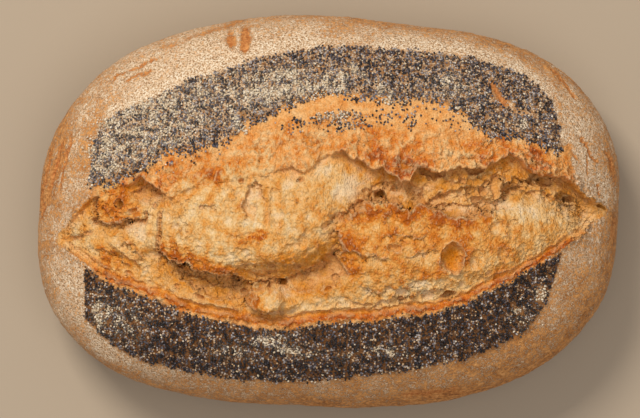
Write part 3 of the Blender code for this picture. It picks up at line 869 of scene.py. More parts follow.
smooth_face = between(cloud(x, y, 0, 17 * MM, 650, 3), 0.0, 0.4)
calm = np.maximum(spots(bent_x, bent_y, SMOOTH_PLACES), 0.65 * lip_curl)
calm = np.clip(np.maximum(calm, near_detail), 0, 0.92)
sheeted = 1.1 - 0.75 * smooth_face
fibrous = between(cloud(x, y, 0, 15 * MM, 660, 2), 0.0, 0.35)
pocketed = np.clip(0.55 + 0.4 * shade + 0.6 * noise(x, y, 0, 21 * MM, 655) - 0.35 * smooth_face, 0.1, 1.2)
texture = torn_texture(x, y, sheeted, pocketed, fibrous)
edge_fade = between(from_ear, -2 * MM, 0.8 * MM) * between(from_lip, -1 * MM, 1.2 * MM)
strength = (0.45 + 0.55 * edge_fade) * (0.3 + 0.7 * opening)
texture *= strength * (1 - 0.85 * calm) * (0.88 - 0.45 * np.clip(shade, 0, 1))
height += texture + detail
carved = texture + detail
slope_along = np.gradient(carved, axis=0) / np.gradient(x, axis=0)
slope_across = np.gradient(carved, axis=1) / np.minimum(np.gradient(y, axis=1), -0.05 * MM)
push_x += 0.32 * MM * np.clip(slope_along, -1.3, 1.3)
push_y += 0.32 * MM * np.clip(slope_across, -1.3, 1.3)
print(f"texture from {texture.min() / MM:.1f} to {texture.max() / MM:.1f} mm")

# %% [markdown]
# ## Sculpting the crust
#
# The crust is smoother. The ear curls up behind the tear, the bare skin beside it is blistered, and the
# floured rim has slow dents where hands pressed it and fine cracks where it stretched in the oven.

# %% Curl of the ear and the lip
relief = np.zeros(grid_x.shape)
calm_ear = blurred(blurred(ear_y, 14), 10)
behind_ear = np.maximum(grid_y - calm_ear, 0)
before_lip = np.maximum(lip_y - grid_y, 0)
above = (grid_z > GIRTH_HEIGHT) & on_top
back_side = above & (grid_y > (ear_y + lip_y) / 2)
front_side = above & ~back_side
ear_curl = blurred(np.clip(0.42 * ear_drop, 0, 2.4 * MM), 8)
relief += back_side * ear_curl * bell(behind_ear, 9 * MM) * opening
relief += front_side * 0.9 * MM * bell(before_lip, 5 * MM) * opening
edge_height = edge_height * opening
carried = back_side * edge_height[:, :1] * bell(behind_ear, 9 * MM)
carried += front_side * edge_height[:, 1:] * bell(before_lip, 4 * MM)
print(f"the ear curls up by {ear_curl.max() / MM:.1f} mm")

# %% Blisters on the bare skin
SKIN_WIDTHS = [  # how far behind the ear the skin is rough, at places along it, in millimetres
    (-118, 2), (-104, 6), (-90, 8), (-78, 14), (-66, 20), (-40, 23), (-10, 24), (20, 22), (45, 22),
    (62, 18), (78, 12), (96, 13), (106, 10), (114, 4), (122, 2),
]
skin_width = course(SKIN_WIDTHS, slice_x)[:, None]
rough_skin = back_side * (1 - between(behind_ear, 0.6 * skin_width, 1.15 * skin_width)) * opening
near_tear = np.maximum(rough_skin, front_side * bell(before_lip, 3 * MM) * opening)
skin_pockets = np.clip(0.5 + 0.8 * noise(grid_x, grid_y, 0, 12 * MM, 705), 0, 1)
relief += 1.3 * near_tear * torn_texture(grid_x, grid_y, 1.3, skin_pockets)
blister = between(noise(grid_x, grid_y, 0, 11 * MM, 710), -0.05, 0.3) * rough_skin
relief += 1.3 * MM * blister * (1 - pocket_depth(grid_x, grid_y, 2.6 * MM, 712, 0.0)) ** 2
print(f"the bare skin is rough up to {skin_width.max() / MM:.0f} mm behind the ear")

# %% Dents and wrinkles
relief += 0.9 * MM * noise(grid_x, grid_y, grid_z, 34 * MM, 720)
relief += 0.28 * MM * cloud(grid_x, grid_y, grid_z, 9 * MM, 725, 4, 0.6)
relief += 0.18 * MM * cloud(grid_x, grid_y, grid_z, 2.6 * MM, 727, 2)
wrinkle = shreds(grid_x + 0.6 * grid_y, 0.35 * (grid_y - 0.6 * grid_x), grid_z, 5 * MM, 730, 3) - 0.6
relief += 0.6 * MM * wrinkle * between(noise(grid_x, grid_y, grid_z, 30 * MM, 735), -0.2, 0.3)
print(f"relief from {relief.min() / MM:.1f} to {relief.max() / MM:.1f} mm")

# %% Cracks
CRACKS = {  # on the crust: half width, depth, places
    "right crack": (0.4, 0.9, [(112, 34), (114, 31), (116.7, 26.5), (119, 23), (121, 21.4)]),
    "right crack beside": (0.3, 0.6, [(115, 27), (115.3, 22), (115.2, 15)]),
    "right end": (0.45, 1.0, [(124, 28), (126.2, 23), (127.4, 17)]),
    "seed crack": (0.8, 0.9, [(71.5, 59), (73.6, 54.4), (76.2, 50), (79.6, 45.6)]),
    "left crease": (0.5, 0.9, [(-118.5, 34), (-120.6, 26), (-123.5, 16), (-125, 8)]),
    "left crease beside": (0.4, 0.7, [(-114.5, 36), (-117, 27), (-118.6, 17), (-121, 8)]),
    "right crack third": (0.3, 0.6, [(106.4, 31), (108, 27), (110.6, 22.6)]),
    "right crack far": (0.3, 0.6, [(119.6, 13), (120.6, 9), (121, 6)]),
    "left crease long": (0.4, 0.6, [(-123, 32), (-126, 20), (-128, 6), (-128.6, -6)]),
    "top crease": (0.35, 0.5, [(-100, 57), (-92, 62), (-82, 66.4), (-74, 69)]),
    "top crease beside": (0.35, 0.4, [(-92, 57), (-84, 61.4), (-77, 63.6)]),
    "right top crease": (0.35, 0.5, [(98, 66), (106, 58), (112, 50)]),
    "front crease": (0.6, 0.5, [(60, -79), (50, -80.6), (40, -81.6), (30, -82)]),
    "scrape": (1.1, 0.3, [(-37, 83), (-36.2, 78), (-37.4, 73), (-38.4, 69.5)]),
    "scrape beside": (1.0, 0.3, [(-44.2, 78.6), (-43.8, 75.6), (-42.4, 72.8)]),
}
crack_mark = np.zeros(grid_x.shape)
crust_bend = make_bends(grid_x, grid_y)[0]
for half_width, depth, places in CRACKS.values():
    distance, fade = edge_distance(grid_x, grid_y, places, crust_bend, 0.45)
    near = bell(distance, half_width * MM) * fade * above
    relief -= depth * MM * near
    crack_mark = np.maximum(crack_mark, bell(distance, 1.5 * half_width * MM) * fade * above)
print(f"{len(CRACKS)} cracks")

# %% Folds behind the ear, and a plain base
skin_ripple = cloud(grid_x, grid_y, 0, 3 * MM, 500, 3)
skin_shade, fold_rim_highlight = np.zeros(grid_x.shape), np.zeros(grid_x.shape)
fold_x, fold_y = grid_x + 2 * MM * crust_bend[0], grid_y + 2 * MM * crust_bend[1]
# each fold gets painted shade inside and a painted highlight on its rim
for fold in SKIN_FOLDS.values():
    fold_depth, rim, reach = bowl_height(fold_x, fold_y, fold, skin_ripple)
    relief += (fold_depth + 0.6 * MM * rim) * back_side
    skin_shade = np.maximum(skin_shade, -fold_depth / (2 * MM) * fold[-1] * back_side)
    fold_rim_highlight = np.maximum(fold_rim_highlight, 0.6 * rim * back_side)
base_share = between(GIRTH_HEIGHT - grid_z, 0.018, 0.031) * ~on_top
relief *= 1 - base_share
print(f"crust relief from {relief.min() / MM:.1f} to {relief.max() / MM:.1f} mm")

# %% Put the relief on the shell
inside = np.zeros(grid_x.shape, bool)
inside[crumb] = True
edge_curl = relief[crumb] * np.maximum(trail(from_ear, 0.8 * MM), trail(from_lip, 1.2 * MM))
relief += carried
relief[crumb] = height * opening + edge_curl
final = np.stack([grid_x, grid_y, grid_z], axis=2) + out * relief[:, :, None]
final[crumb][:, :, 0] += push_x * opening
final[crumb][:, :, 1] += push_y * opening
final[:, :, 2] = np.maximum(final[:, :, 2], 0)
print(f"top at {final[:, :, 2].max() / MM:.1f} mm")

# %% Move the sphere's points
loaf_points = final[slice_of, point_of]
loaf_points[slice_of == 0] = final[1].mean(axis=0)
loaf_points[slice_of == SLICES] = final[-2].mean(axis=0)
loaf.data.vertices.foreach_set("co", loaf_points.ravel())
loaf.data.update()
print(f"loaf from {loaf_points.min(axis=0) / MM} to {loaf_points.max(axis=0) / MM} mm")

# %% [markdown]
# ## Marks that the materials will read
#
# The oven and the flour left their marks by the shape of the loaf: what stands up browns, and flour clings
# beside the seeds. Hollows get a painted golden shade, and thin edges a painted highlight. So each point
# keeps a few numbers, called attributes, that the materials read as masks. They come from the same forms
# that made the shape. A point's rise is how far it stands above its neighbours, near ones for the fine rise
# and farther ones for the broad.

# %% Rise above the neighbours
sculpted = height * opening
fine_rise = (sculpted - blurred(sculpted, 3)) / (0.5 * MM)
broad_rise = (sculpted - blurred(sculpted, 12)) / (2.2 * MM)
print(f"fine rise {np.abs(fine_rise).mean():.2f}, broad rise {np.abs(broad_rise).mean():.2f}")

# %% [markdown]
# ## Where the seeds and the flour lie
#
# The seeds were rolled on in two beds, back and front of the tear. A bed's edge is a line through a few
# places, frayed by noise. The flour was dusted last, so it lies in a few drifts over the seeds, and as a
# pale line along the outside of the back bed. Both masks are plain functions of place, so that the crust's
# colour, the seeds and the flour grains can all ask the same one.

# %% Places of the seeds and the flour, in millimetres
BACK_BED_INNER = [
    (-106, 11.4), (-100.9, 11.0), (-96.4, 10.9), (-92, 13.5), (-87.6, 15.3), (-83.7, 17.1), (-79.7, 19.7),
    (-75.7, 22.4), (-70, 24.6), (-62.4, 25.4), (-55, 26.6), (-49.3, 27.4), (-45, 29.4), (-41.2, 33.0),
    (-36, 37.5), (-28, 38.6), (-25, 40.5), (-22, 43.8), (-16, 46.2), (-10, 48), (-4, 50.6), (5, 50.4),
    (8, 49.4), (14, 48.8), (21, 48.8), (27, 47.6), (41, 47.4), (49, 47.2), (53.5, 44.4), (59.7, 42),
    (62, 39), (65.0, 35), (70, 32.6), (78, 31.6), (88.8, 30), (95.8, 27.2), (101, 25), (104.5, 26),
]
BACK_BED_OUTER = [
    (-107.5, 12), (-106.2, 17), (-105.7, 24), (-104.4, 31.6), (-97.8, 41.3), (-92, 45), (-82.3, 48.4),
    (-70, 54.6), (-62.5, 59), (-51.5, 61.2), (-40.4, 64.7), (-34.7, 67.3), (-25.9, 69.1), (-11.3, 72.4),
    (0.5, 73.2), (9.4, 73.6), (18.2, 73.1), (35.9, 71.8), (55.3, 70), (71.1, 66.8), (83.5, 62.5),
    (93.2, 56.3), (99.4, 49.3), (102, 40.4), (103.4, 31), (105.2, 26),
]
FRONT_BED_OUTER = [
    (-109, -30), (-108.4, -47), (-101, -55.4), (-92, -62.6), (-79, -67.2), (-62.6, -71.5), (-42, -74.4),
    (-20, -75.7), (-4, -75), (16.7, -72.8), (39, -69.8), (61, -65.4), (75.5, -59.5), (87, -53.6),
    (96, -41.9), (99.5, -31.6), (103, -19),
]
SEED_CLUMPS = {
    "left of middle": (-13.6, 38.4, 3.4, 3.4, 0, 0.95, 3),
    "left crumbs": (-20, 37.4, 4.5, 1.4, -12, 0.5, 2),
    "middle": (3.5, 41.6, 11.5, 2.6, 4, 1.0, 4),
    "middle low": (8, 38.4, 8, 2.8, 6, 0.9, 3),
    "middle right": (19, 40.2, 7, 3.6, 20, 0.65, 3),
    "right of middle": (28, 43.5, 8, 4.5, 0, 0.28, 3),
    "right clump": (36, 40.2, 3.0, 3.4, 0, 0.9, 3),
    "right crumbs": (43, 43.5, 9, 4.5, -8, 0.2, 3),
    "far crumbs": (57, 39.0, 5, 4, 0, 0.26, 3),
    "far left crumbs": (-78, 17.0, 16, 2.6, 18, 0.2, 3),
    "left crumbs low": (-62, 22.5, 14, 2.2, 12, 0.17, 3),
}
SEED_GAPS = {
    "crack": (75.2, 51.5, 7.6, 1.4, -58, 1.3, 4),
    "crack end": (80.6, 47.6, 4, 1.5, -35, 1.0, 3),
    "crack branch": (86.8, 43.8, 4, 1.0, -4, 0.8, 3),
    "left notch": (-91, 20, 8, 1.3, 42, 0.8, 2),
    "left patch": (-47, 31.8, 4, 1.5, 20, 0.7, 3),
    "middle patch": (-2, 62.5, 4, 2, 0, 0.5, 2),
    "middle bare": (12.5, 52.4, 4, 1.6, 20, 0.7, 3),
    "right patch": (94, -36.7, 2.2, 4.8, -14, 1.0, 3),
    "right spot": (84.4, -44.6, 2.4, 1.2, -20, 0.9, 2),
    "front left patch": (-101.5, -45, 2.6, 4.5, 12, 0.55, 2),
}
FLOUR_DRIFTS = {
    "left end": (-100, 24, 9, 12, 10, 0.42, 3),
    "back left": (-78, 36, 30, 11, 22, 0.55, 3),
    "back left edge": (-74, 49, 36, 4.5, 20, 0.45, 3),
    "back middle": (-30, 54, 16, 7, 8, 0.80, 3),
    "back middle right": (-8, 53.5, 12, 4.6, 2, 0.95, 3),
    "back upper": (-20, 61, 12, 3.5, 12, 0.45, 3),
    "bright spot": (-42.4, 40.5, 2.6, 3.4, 20, 0.95, 2),
    "bright spot low": (-37.6, 36.2, 3, 2, 0, 0.9, 2),
    "streak one": (4, 58, 6, 4.5, 30, 0.85, 3),
    "streak two": (13, 61.6, 4.6, 1.6, -44, 1.2, 3),
    "streak three": (25, 52.5, 3, 5.5, 26, 0.85, 3),
    "right dusting": (50, 57, 9, 4, 10, 0.40, 2),
    "right dusting low": (58, 53, 8, 5, 0, 0.34, 2),
    "clump": (2, 42.2, 10, 2.0, 4, 0.95, 3),
    "clump low": (10, 39.4, 7, 2, 0, 0.5, 3),
    "right speck": (85.7, 39, 3, 2.2, -30, 0.8, 2),
    "right patch": (94, -36.7, 2.2, 3.8, -14, 2.0, 3),
    "right spot": (84.4, -44.6, 2.2, 1.3, -20, 1.6, 2),
    "front left patch": (-101.5, -45, 4, 6, 12, 0.75, 2),
    "front left": (-92, -48, 12, 9, -30, 0.36, 3),
    "front middle": (-25, -57, 9, 3.0, 4, 0.75, 2),
    "front middle low": (-14, -62, 8, 2.6, -6, 0.6, 2),
    "front low": (-44, -62, 10, 3, -6, 0.4, 2),
    "front low right": (26, -62, 7, 2.2, -8, 0.7, 2),
    "front speck": (8, -64, 3, 1.6, 10, 0.8, 2),
    "front right": (90, -50, 8, 6, -40, 0.3, 2),
}


# %% Masks of the seeds and the flour
def seed_cover(x, y):
    """Two masks, of the back bed and the front bed: 1 where seeds lie close and 0 where there are none."""
    frayed = 1.8 * MM * cloud(x, y, 0, 5 * MM, 910, 4, 0.65)
    inner = y - course(BACK_BED_INNER, x) + frayed
    outer = course(BACK_BED_OUTER, x) - y + 0.6 * frayed
    back = between(inner, -1 * MM, 1.6 * MM) * between(outer, -1 * MM, 1.2 * MM)
    back = back * (y > 8 * MM) * (np.abs(x + 0.0012) < 0.1064)
    broken = 0.75 + 0.8 * cloud(x, y, 0, 3.5 * MM, 915, 3)
    back = np.maximum(back, spots(x, y, SEED_CLUMPS) * broken)
    inner = lip_edge(x) - 1.6 * MM - y + 0.7 * frayed
    outer = y - course(FRONT_BED_OUTER, x) + 0.6 * frayed
    front = between(inner, -0.6 * MM, 0.9 * MM) * between(outer, -1 * MM, 1.2 * MM)
    front = front * (y < -15 * MM) * (x > -0.1085) * (x < 0.103)
    gaps = np.clip(1 - spots(x, y, SEED_GAPS), 0, 1)
    return np.clip(back * gaps, 0, 1), np.clip(front * gaps, 0, 1)


def flour_cover(x, y):
    broken = 0.22 + 0.85 * between(cloud(x, y, 0, 4.2 * MM, 920, 3, 0.6), -0.12, 0.3)
    return np.clip(spots(x, y, FLOUR_DRIFTS) * broken * 1.5, 0, 1)


print(f"the back bed covers {seed_cover(grid_x, grid_y)[0].mean():.2f} of the ring points")

# %% [markdown]
# ### What the oven browned, and where shade and highlights are painted
#
# Browning starts from an even tan and adds the places where this loaf toasted most or least, the torn edges,
# whatever stands proud, and a little cloud of chance. The painted shade of the hollows and the painted
# highlights of the thin edges follow the crumb's own forms.

# %% Browning, painted shade and painted highlights
BROWN_SPOTS = {
    "crest": (22, 0.0, 17, 4.5, 8, 0.45, 3),
    "crest right": (48, -2, 16, 4, -6, 0.38, 3),
    "right mound": (45, -16, 50, 18, 5, 0.20, 4),
    "west side": (8, -17, 5, 11, 0, 0.30, 3),
    "flap": (-95, 1.5, 10, 6, 12, 0.45, 3),
    "round bowl": (54, -20.6, 4.0, 5.2, 0, 0.45, 4),
    "knob side": (-34.6, -38.5, 2.6, 5.0, 0, 0.5, 3),
    "knob pale": (-26, -37.6, 6.0, 5, 0, -0.42, 3),
    "mound foot": (-58, -22, 20, 4, -16, 0.35, 3),
    "tall bubble foot": (-31, -10.5, 5, 3, 0, 0.55, 2),
    "left facet": (-93, -24, 9, 5, -38, 0.40, 3),
    "left facet top": (-94, -10, 4, 2, -30, 0.3, 2),
    "left brow": (-68, -20, 10, 4, -30, 0.3, 2),
    "ear brown": (26, 20.5, 16, 5.5, -10, 0.62, 3),
    "ear brown top": (34, 27, 9, 5, -20, 0.35, 2),
    "ear brown left": (-50, 15.5, 7, 3.6, 6, 0.50, 2),
    "ear right": (84, 24, 26, 7, -14, 0.34, 3),
    "left fold": (-84, 15.5, 18, 3.5, 22, 0.34, 3),
    "ear orange left": (-62, 17, 22, 7, 12, 0.16, 3),
    "ear orange middle": (0, 34, 30, 8, 0, 0.12, 3),
    "pale bubble": (-31, 4, 5, 7, 2, -0.22, 3),
    "pale valley": (20, 9, 14, 5, -8, -0.35, 2),
    "pale floor": (72, 1, 26, 4.5, -2, -0.35, 2),
    "pale front": (38, -34, 18, 3.4, 14, -0.30, 2),
    "pale left": (-82, -8, 7, 9, -20, -0.2, 2),
    "pale middle": (7, 9, 6, 12, 10, -0.2, 2),
}
MARKS = ("browning", "hollow", "torn", "flour", "bare", "base", "scraped", "seeded", "pale")
marks = {name: np.zeros(grid_x.shape) for name in MARKS}
seamless = between(course(EAR_DROPS, slice_x), 1.6 * MM, 0.5 * MM)[:, None]  # where the ear has no step
torn_inside = between(np.minimum(from_ear, from_lip * 1.5), -1 * MM, 6 * MM) * opening
marks["torn"][crumb] = np.maximum(torn_inside, np.maximum(np.clip(shade * 1.3, 0, 1), 0.8 * seamless))
blended_skin = 0.8 * seamless * back_side * (1 - between(behind_ear, 1 * MM, 12 * MM))
marks["torn"] = np.maximum(marks["torn"], blended_skin)
frayed_x, frayed_y = grid_x + 5 * MM * crust_bend[0], grid_y + 5 * MM * crust_bend[1]
marks["browning"] += 0.36 + spots(frayed_x, frayed_y, BROWN_SPOTS)
marks["browning"][crumb] += 0.36 * np.clip(browning, 0, 1.2) * (0.4 + 0.6 * opening)
proud = 0.22 * np.clip(broad_rise, -1.2, 1.2) + 0.04 * np.clip(fine_rise, -1.5, 1.5)
marks["browning"][crumb] += proud - 0.16 * shade
marks["browning"][crumb] += 0.22 * cloud(x, y, 0, 8 * MM, 946, 4, 0.6)
# painted golden shade in the hollows, and painted dark shadow in the holes
hollow_shade = 0.66 * shade + spots(bent_x, bent_y, SHADED_PLACES)
hollow_shade = hollow_shade + 0.12 * np.clip(-fine_rise, 0, 1.5) + 0.2 * np.clip(-broad_rise, 0, 1.2)
marks["hollow"][crumb] = np.maximum(np.minimum(hollow_shade, 0.8), hole_shade)
# painted highlight along thin edges and on crests
edge_highlight = np.maximum(pale * opening, 0.4 * between(fine_rise, 0.5, 1.6))
marks["pale"][crumb] = edge_highlight * (1 - 0.5 * np.clip(shade, 0, 1))
skin_rise = (relief - blurred(relief, 3)) / (0.4 * MM)
toasted_skin = 0.34 * cloud(grid_x, grid_y, 0, 8 * MM, 946, 4, 0.6)
marks["browning"] += np.where(inside, 0, toasted_skin) * near_tear
# painted shade in the skin's dips and folds, and painted highlight on its crests and fold rims
skin_painted_shade = 0.16 * np.clip(-skin_rise, 0, 1.5) * near_tear + 0.8 * np.clip(skin_shade, 0, 1)
marks["hollow"] += np.where(inside, 0, skin_painted_shade)
skin_highlight = np.maximum(0.5 * between(skin_rise, 0.5, 1.6) * near_tear, fold_rim_highlight)
marks["pale"] += np.where(inside, 0, skin_highlight)
marks["browning"] += np.where(inside, 0, 0.22 * bell(before_lip, 1.2 * MM) * front_side)

# %% Skin that stayed bare of flour
lip_band = front_side * (1 - between(before_lip, 1.2 * MM, 3.2 * MM))
lip_band = lip_band * between(grid_x, -0.108, -0.098) * (1 - between(grid_x, 0.094, 0.104))
bare_edge = course(BACK_BED_INNER, grid_x) + 2.5 * MM - grid_y
bare_edge = bare_edge + 1.2 * MM * cloud(grid_x, grid_y, 0, 5 * MM, 900, 3)
right_end = grid_x + 1.5 * MM * noise(0, grid_y, 0, 4 * MM, 905)
bare_ends = between(grid_x, -0.107, -0.102) * (1 - between(right_end, 0.106, 0.109))
marks["bare"] = np.maximum(lip_band, back_side * between(bare_edge, -2 * MM, 1.5 * MM) * bare_ends)
marks["bare"][crumb] = np.maximum(between(opening, 0, 0.2), hole_shade)
marks["base"] = between(GIRTH_HEIGHT - grid_z, -0.004, 0.030) * ~on_top
print(f"bare skin on {marks['bare'].mean():.2f} of the ring points")

# %% [markdown]
# ### How floury each place is
#
# The rim's flour is thickest at the back left, where most of it fell, and worn off along the widest line, in
# cracks and where something scraped the loaf. Beside the back bed of seeds it lies in a pale line.

# %% Flour on the crust
plan_turn = np.degrees(np.arctan2(grid_y, grid_x))
share = rim_share(grid_x, grid_y)
# Towards the front, from -105 to -85 degrees, the values are raised to lighten a side that the light leaves
# dim: painted light on top of the flour.
RIM_FLOUR = [  # how floury the rim is, by its direction from the centre in degrees
    (-180, 0.42), (-165, 0.7), (-150, 0.72), (-125, 0.52), (-105, 0.46), (-85, 0.46), (-60, 0.4),
    (-40, 0.36), (-20, 0.48), (-5, 0.58), (20, 0.64), (35, 0.58), (60, 0.58), (90, 0.62), (120, 0.76),
    (145, 0.78), (160, 0.4), (180, 0.42),
]
rim_flour = np.interp(plan_turn, *np.array(RIM_FLOUR).T)
beyond_back = (grid_y - course(BACK_BED_OUTER, grid_x)) * (np.abs(grid_x) < 0.104)
PALE_LINE = [  # how much flour lies along the outside of the back bed, at places along X in millimetres
    (-104, 0.5), (-90, 1.0), (-60, 0.8), (-30, 1.0), (-8, 0.5), (5, 0.25), (22, 0.7), (35, 1.0), (60, 0.8),
    (85, 0.7), (104, 0.3),
]
along_x, thickness = np.array(PALE_LINE).T
line_flour = np.interp(grid_x / MM, along_x, thickness)
line_flour = line_flour * (0.75 + 0.7 * cloud(grid_x, grid_y, 0, 9 * MM, 930, 4, 0.6))
pale_line = back_side * bell(beyond_back - 2.4 * MM, 3.0 * MM) * line_flour
back_seeds, front_seeds = seed_cover(grid_x, grid_y)
marks["flour"] = rim_flour + 0.6 * np.clip(pale_line, 0, 1)
marks["flour"] = marks["flour"] + 0.13 * cloud(grid_x, grid_y, grid_z, 16 * MM, 935, 5, 0.7)
under_seeds = np.where(back_side, 0.50, 0.20) + 0.5 * flour_cover(grid_x, grid_y)
seeded = np.maximum(back_seeds * back_side, front_seeds * front_side)
marks["flour"] += (under_seeds - marks["flour"]) * seeded
# how much shade is painted on the crust between the seeds
marks["seeded"] = np.maximum(back_seeds * back_side * 0.75, front_seeds * front_side)
belt = between(share + 0.03 * cloud(grid_x, grid_y, grid_z, 18 * MM, 936, 4, 0.6), 0.93, 1.0)
belt *= 1 - 0.8 * between(GIRTH_HEIGHT - grid_z, 0.0, 0.012)
marks["flour"] -= 0.17 * belt + 0.6 * crack_mark
SCRAPES = {  # where the crust shows through the flour
    "scrape": (-37.4, 75, 2.0, 6.8, 4, 1.0, 3),
    "scrape beside": (-43.2, 76.6, 1.6, 4.6, 14, 0.9, 3),
    "top rim bare": (-58, 79, 26, 1.4, 21, 0.4, 3),
    "left bare": (-120, 22, 1.0, 12, -12, 0.5, 3),
    "left bare beside": (-124.5, 12, 1.0, 9, -8, 0.5, 3),
    "right fleck": (113, 58, 4, 1.4, -50, 0.6, 2),
    "right edge": (127, 20, 1.4, 9, 8, 0.6, 3),
    "right end fold": (128, -8, 1.4, 8, -6, 0.6, 3),
    "front streak": (50, -82, 12, 1.0, 8, 0.5, 2),
}
frayed_scrapes = spots(grid_x, grid_y, SCRAPES) * (1 + 0.9 * cloud(grid_x, grid_y, 0, 3 * MM, 940, 3))
scraped = np.clip(frayed_scrapes, 0, 1) * above
marks["flour"] = np.clip(marks["flour"] - 0.62 * scraped, 0, 1)
marks["flour"] *= 1 - marks["bare"] * (1 - 0.12 * np.clip(spots(grid_x, grid_y, SEED_CLUMPS), 0, 1))
marks["scraped"] = np.maximum(0.75 * scraped, crack_mark)
print(f"flour mark averages {marks['flour'].mean():.2f}")

# %% Write the marks on the mesh
for name, field in marks.items():
    values = np.clip(field, 0, 1)[slice_of, point_of]
    attribute = loaf.data.attributes.new(name, "FLOAT", "POINT")
    attribute.data.foreach_set("value", values.astype(np.float32))
    print(f"{name}: mean {values.mean():.2f}, from {field.min():.2f} to {field.max():.2f}")

# %% [markdown]
# ## Crust and crumb as two pieces
#
# The crust and the torn crumb have different finishes and each needs many points, so the shell is parted
# along the ear and the lip. The crumb's faces are selected by their rings, and Separate makes them an object
# of their own. Both keep the points of the shared border, so that no gap opens.

# %% Keep the shell's own smooth shading for both pieces
loaf.data.shade_smooth()
shading = np.empty(len(loaf.data.vertices) * 3, np.float32)
loaf.data.vertices.foreach_get("normal", shading)
loaf.data.attributes.new("shading", "FLOAT_VECTOR", "POINT").data.foreach_set("vector", shading)
print(f"{len(loaf.data.vertices)} shading directions kept")

# %% Part the crumb from the crust
crumb_point = (point_of >= CRUMB_FIRST) & (point_of <= CRUMB_LAST) & ~pole
slice_open = ear_edge(slice_x) - lip_edge(slice_x) > 3.4 * MM
crumb_point &= slice_open[slice_of]
corner_total = np.empty(len(loaf.data.polygons), int)
loaf.data.polygons.foreach_get("loop_total", corner_total)
corners = np.empty(len(loaf.data.loops), int)
loaf.data.loops.foreach_get("vertex_index", corners)
starts = np.concatenate([[0], np.cumsum(corner_total)[:-1]])
chosen = np.minimum.reduceat(crumb_point[corners].astype(int), starts).astype(bool)
bpy.ops.object.mode_set(mode="EDIT")
bpy.ops.mesh.select_mode(type="FACE")
bpy.ops.mesh.select_all(action="DESELECT")
bpy.ops.object.mode_set(mode="OBJECT")
loaf.data.polygons.foreach_set("select", chosen)
bpy.ops.object.mode_set(mode="EDIT")
bpy.ops.mesh.separate(type="SELECTED")
bpy.ops.object.mode_set(mode="OBJECT")
torn = next(thing for thing in bpy.context.selected_objects if thing != loaf)
torn.name = "torn_crumb"
torn.data.name = "torn_crumb"
for piece in (loaf, torn):
    directions = np.empty(len(piece.data.vertices) * 3, np.float32)
    piece.data.attributes["shading"].data.foreach_get("vector", directions)
    piece.data.normals_split_custom_set_from_vertices(directions.reshape(-1, 3))
    piece.data.attributes.remove(piece.data.attributes["shading"])
print(f"crust {len(loaf.data.polygons)} faces, torn crumb {len(torn.data.polygons)} faces")

# %% [markdown]
# ## Poppy seeds
#
# A poppy seed is about a millimetre long and shaped like a tiny kidney. One is modelled from an ico sphere
# of 20 faces, because there are thousands, and is then copied all over the beds. The copies are laid out
# along the same rings as the crust: in columns across each bed, evenly spaced over the surface, shifted and
# turned at random, and kept or dropped by the bed's mask. Some lie on top of others. The back bed has a mix
# of greys, and the front bed is darker, most of all at its right end.

# %% Model one seed
SEED_LENGTH, SEED_WIDTH, SEED_THICKNESS = 1.16 * MM, 0.92 * MM, 0.84 * MM


def small_solid(name, scale, dent):
    """The corners and faces of one ico sphere, scaled, and dented on one side. The object is then removed."""
    bpy.ops.object.select_all(action="DESELECT")
    bpy.ops.mesh.primitive_ico_sphere_add(subdivisions=1, radius=0.5)
    solid = bpy.context.object
    solid.name = name
    bpy.ops.object.mode_set(mode="EDIT")
    bpy.ops.mesh.select_all(action="SELECT")
    bpy.ops.transform.resize(value=scale)
    bpy.ops.object.mode_set(mode="OBJECT")
    corners = np.array([vertex.co[:] for vertex in solid.data.vertices])
    faces = np.array([polygon.vertices[:] for polygon in solid.data.polygons])
    bend = np.abs(corners[:, 0] / scale[0]) ** 2 * dent * scale[1]
    corners[:, 1] += bend
    bpy.data.objects.remove(solid)
    return corners, faces


seed_corners, seed_faces = small_solid("one_seed", (SEED_LENGTH, SEED_WIDTH, SEED_THICKNESS), 0.9)
print(f"a seed has {len(seed_faces)} faces")


# %% Lay things out over a bed
chance = np.random.default_rng(12)
out_final = outward(final[:, :, 0], final[:, :, 1], final[:, :, 2])


def lay_out(first, last, spacing, jitter):
    """Positions spread evenly over the rings' points first to last, and the outward direction at each."""
    places, directions = [], []
    columns = np.arange(slice_x[0] + 4 * MM, slice_x[-1] - 4 * MM, 0.87 * spacing)
    for number, column_x in enumerate(columns):
        row = int(np.argmin(np.abs(slice_x - column_x)))
        strip = final[row, first : last + 1]
        arc = np.concatenate([[0], np.cumsum(np.linalg.norm(np.diff(strip, axis=0), axis=1))])
        stops = np.arange(0.5 * spacing * (number % 2), arc[-1], spacing)
        stops = np.clip(stops + jitter * spacing * chance.uniform(-1, 1, len(stops)), 0, arc[-1])
        strip_out = out_final[row, first : last + 1]
        here = np.stack([np.interp(stops, arc, strip[:, axis]) for axis in range(3)], axis=1)
        up = np.stack([np.interp(stops, arc, strip_out[:, axis]) for axis in range(3)], axis=1)
        here[:, 0] += jitter * spacing * chance.uniform(-1, 1, len(stops))
        places.append(here)
        directions.append(up)
    up = np.concatenate(directions)
    return np.concatenate(places), up / np.linalg.norm(up, axis=1, keepdims=True)


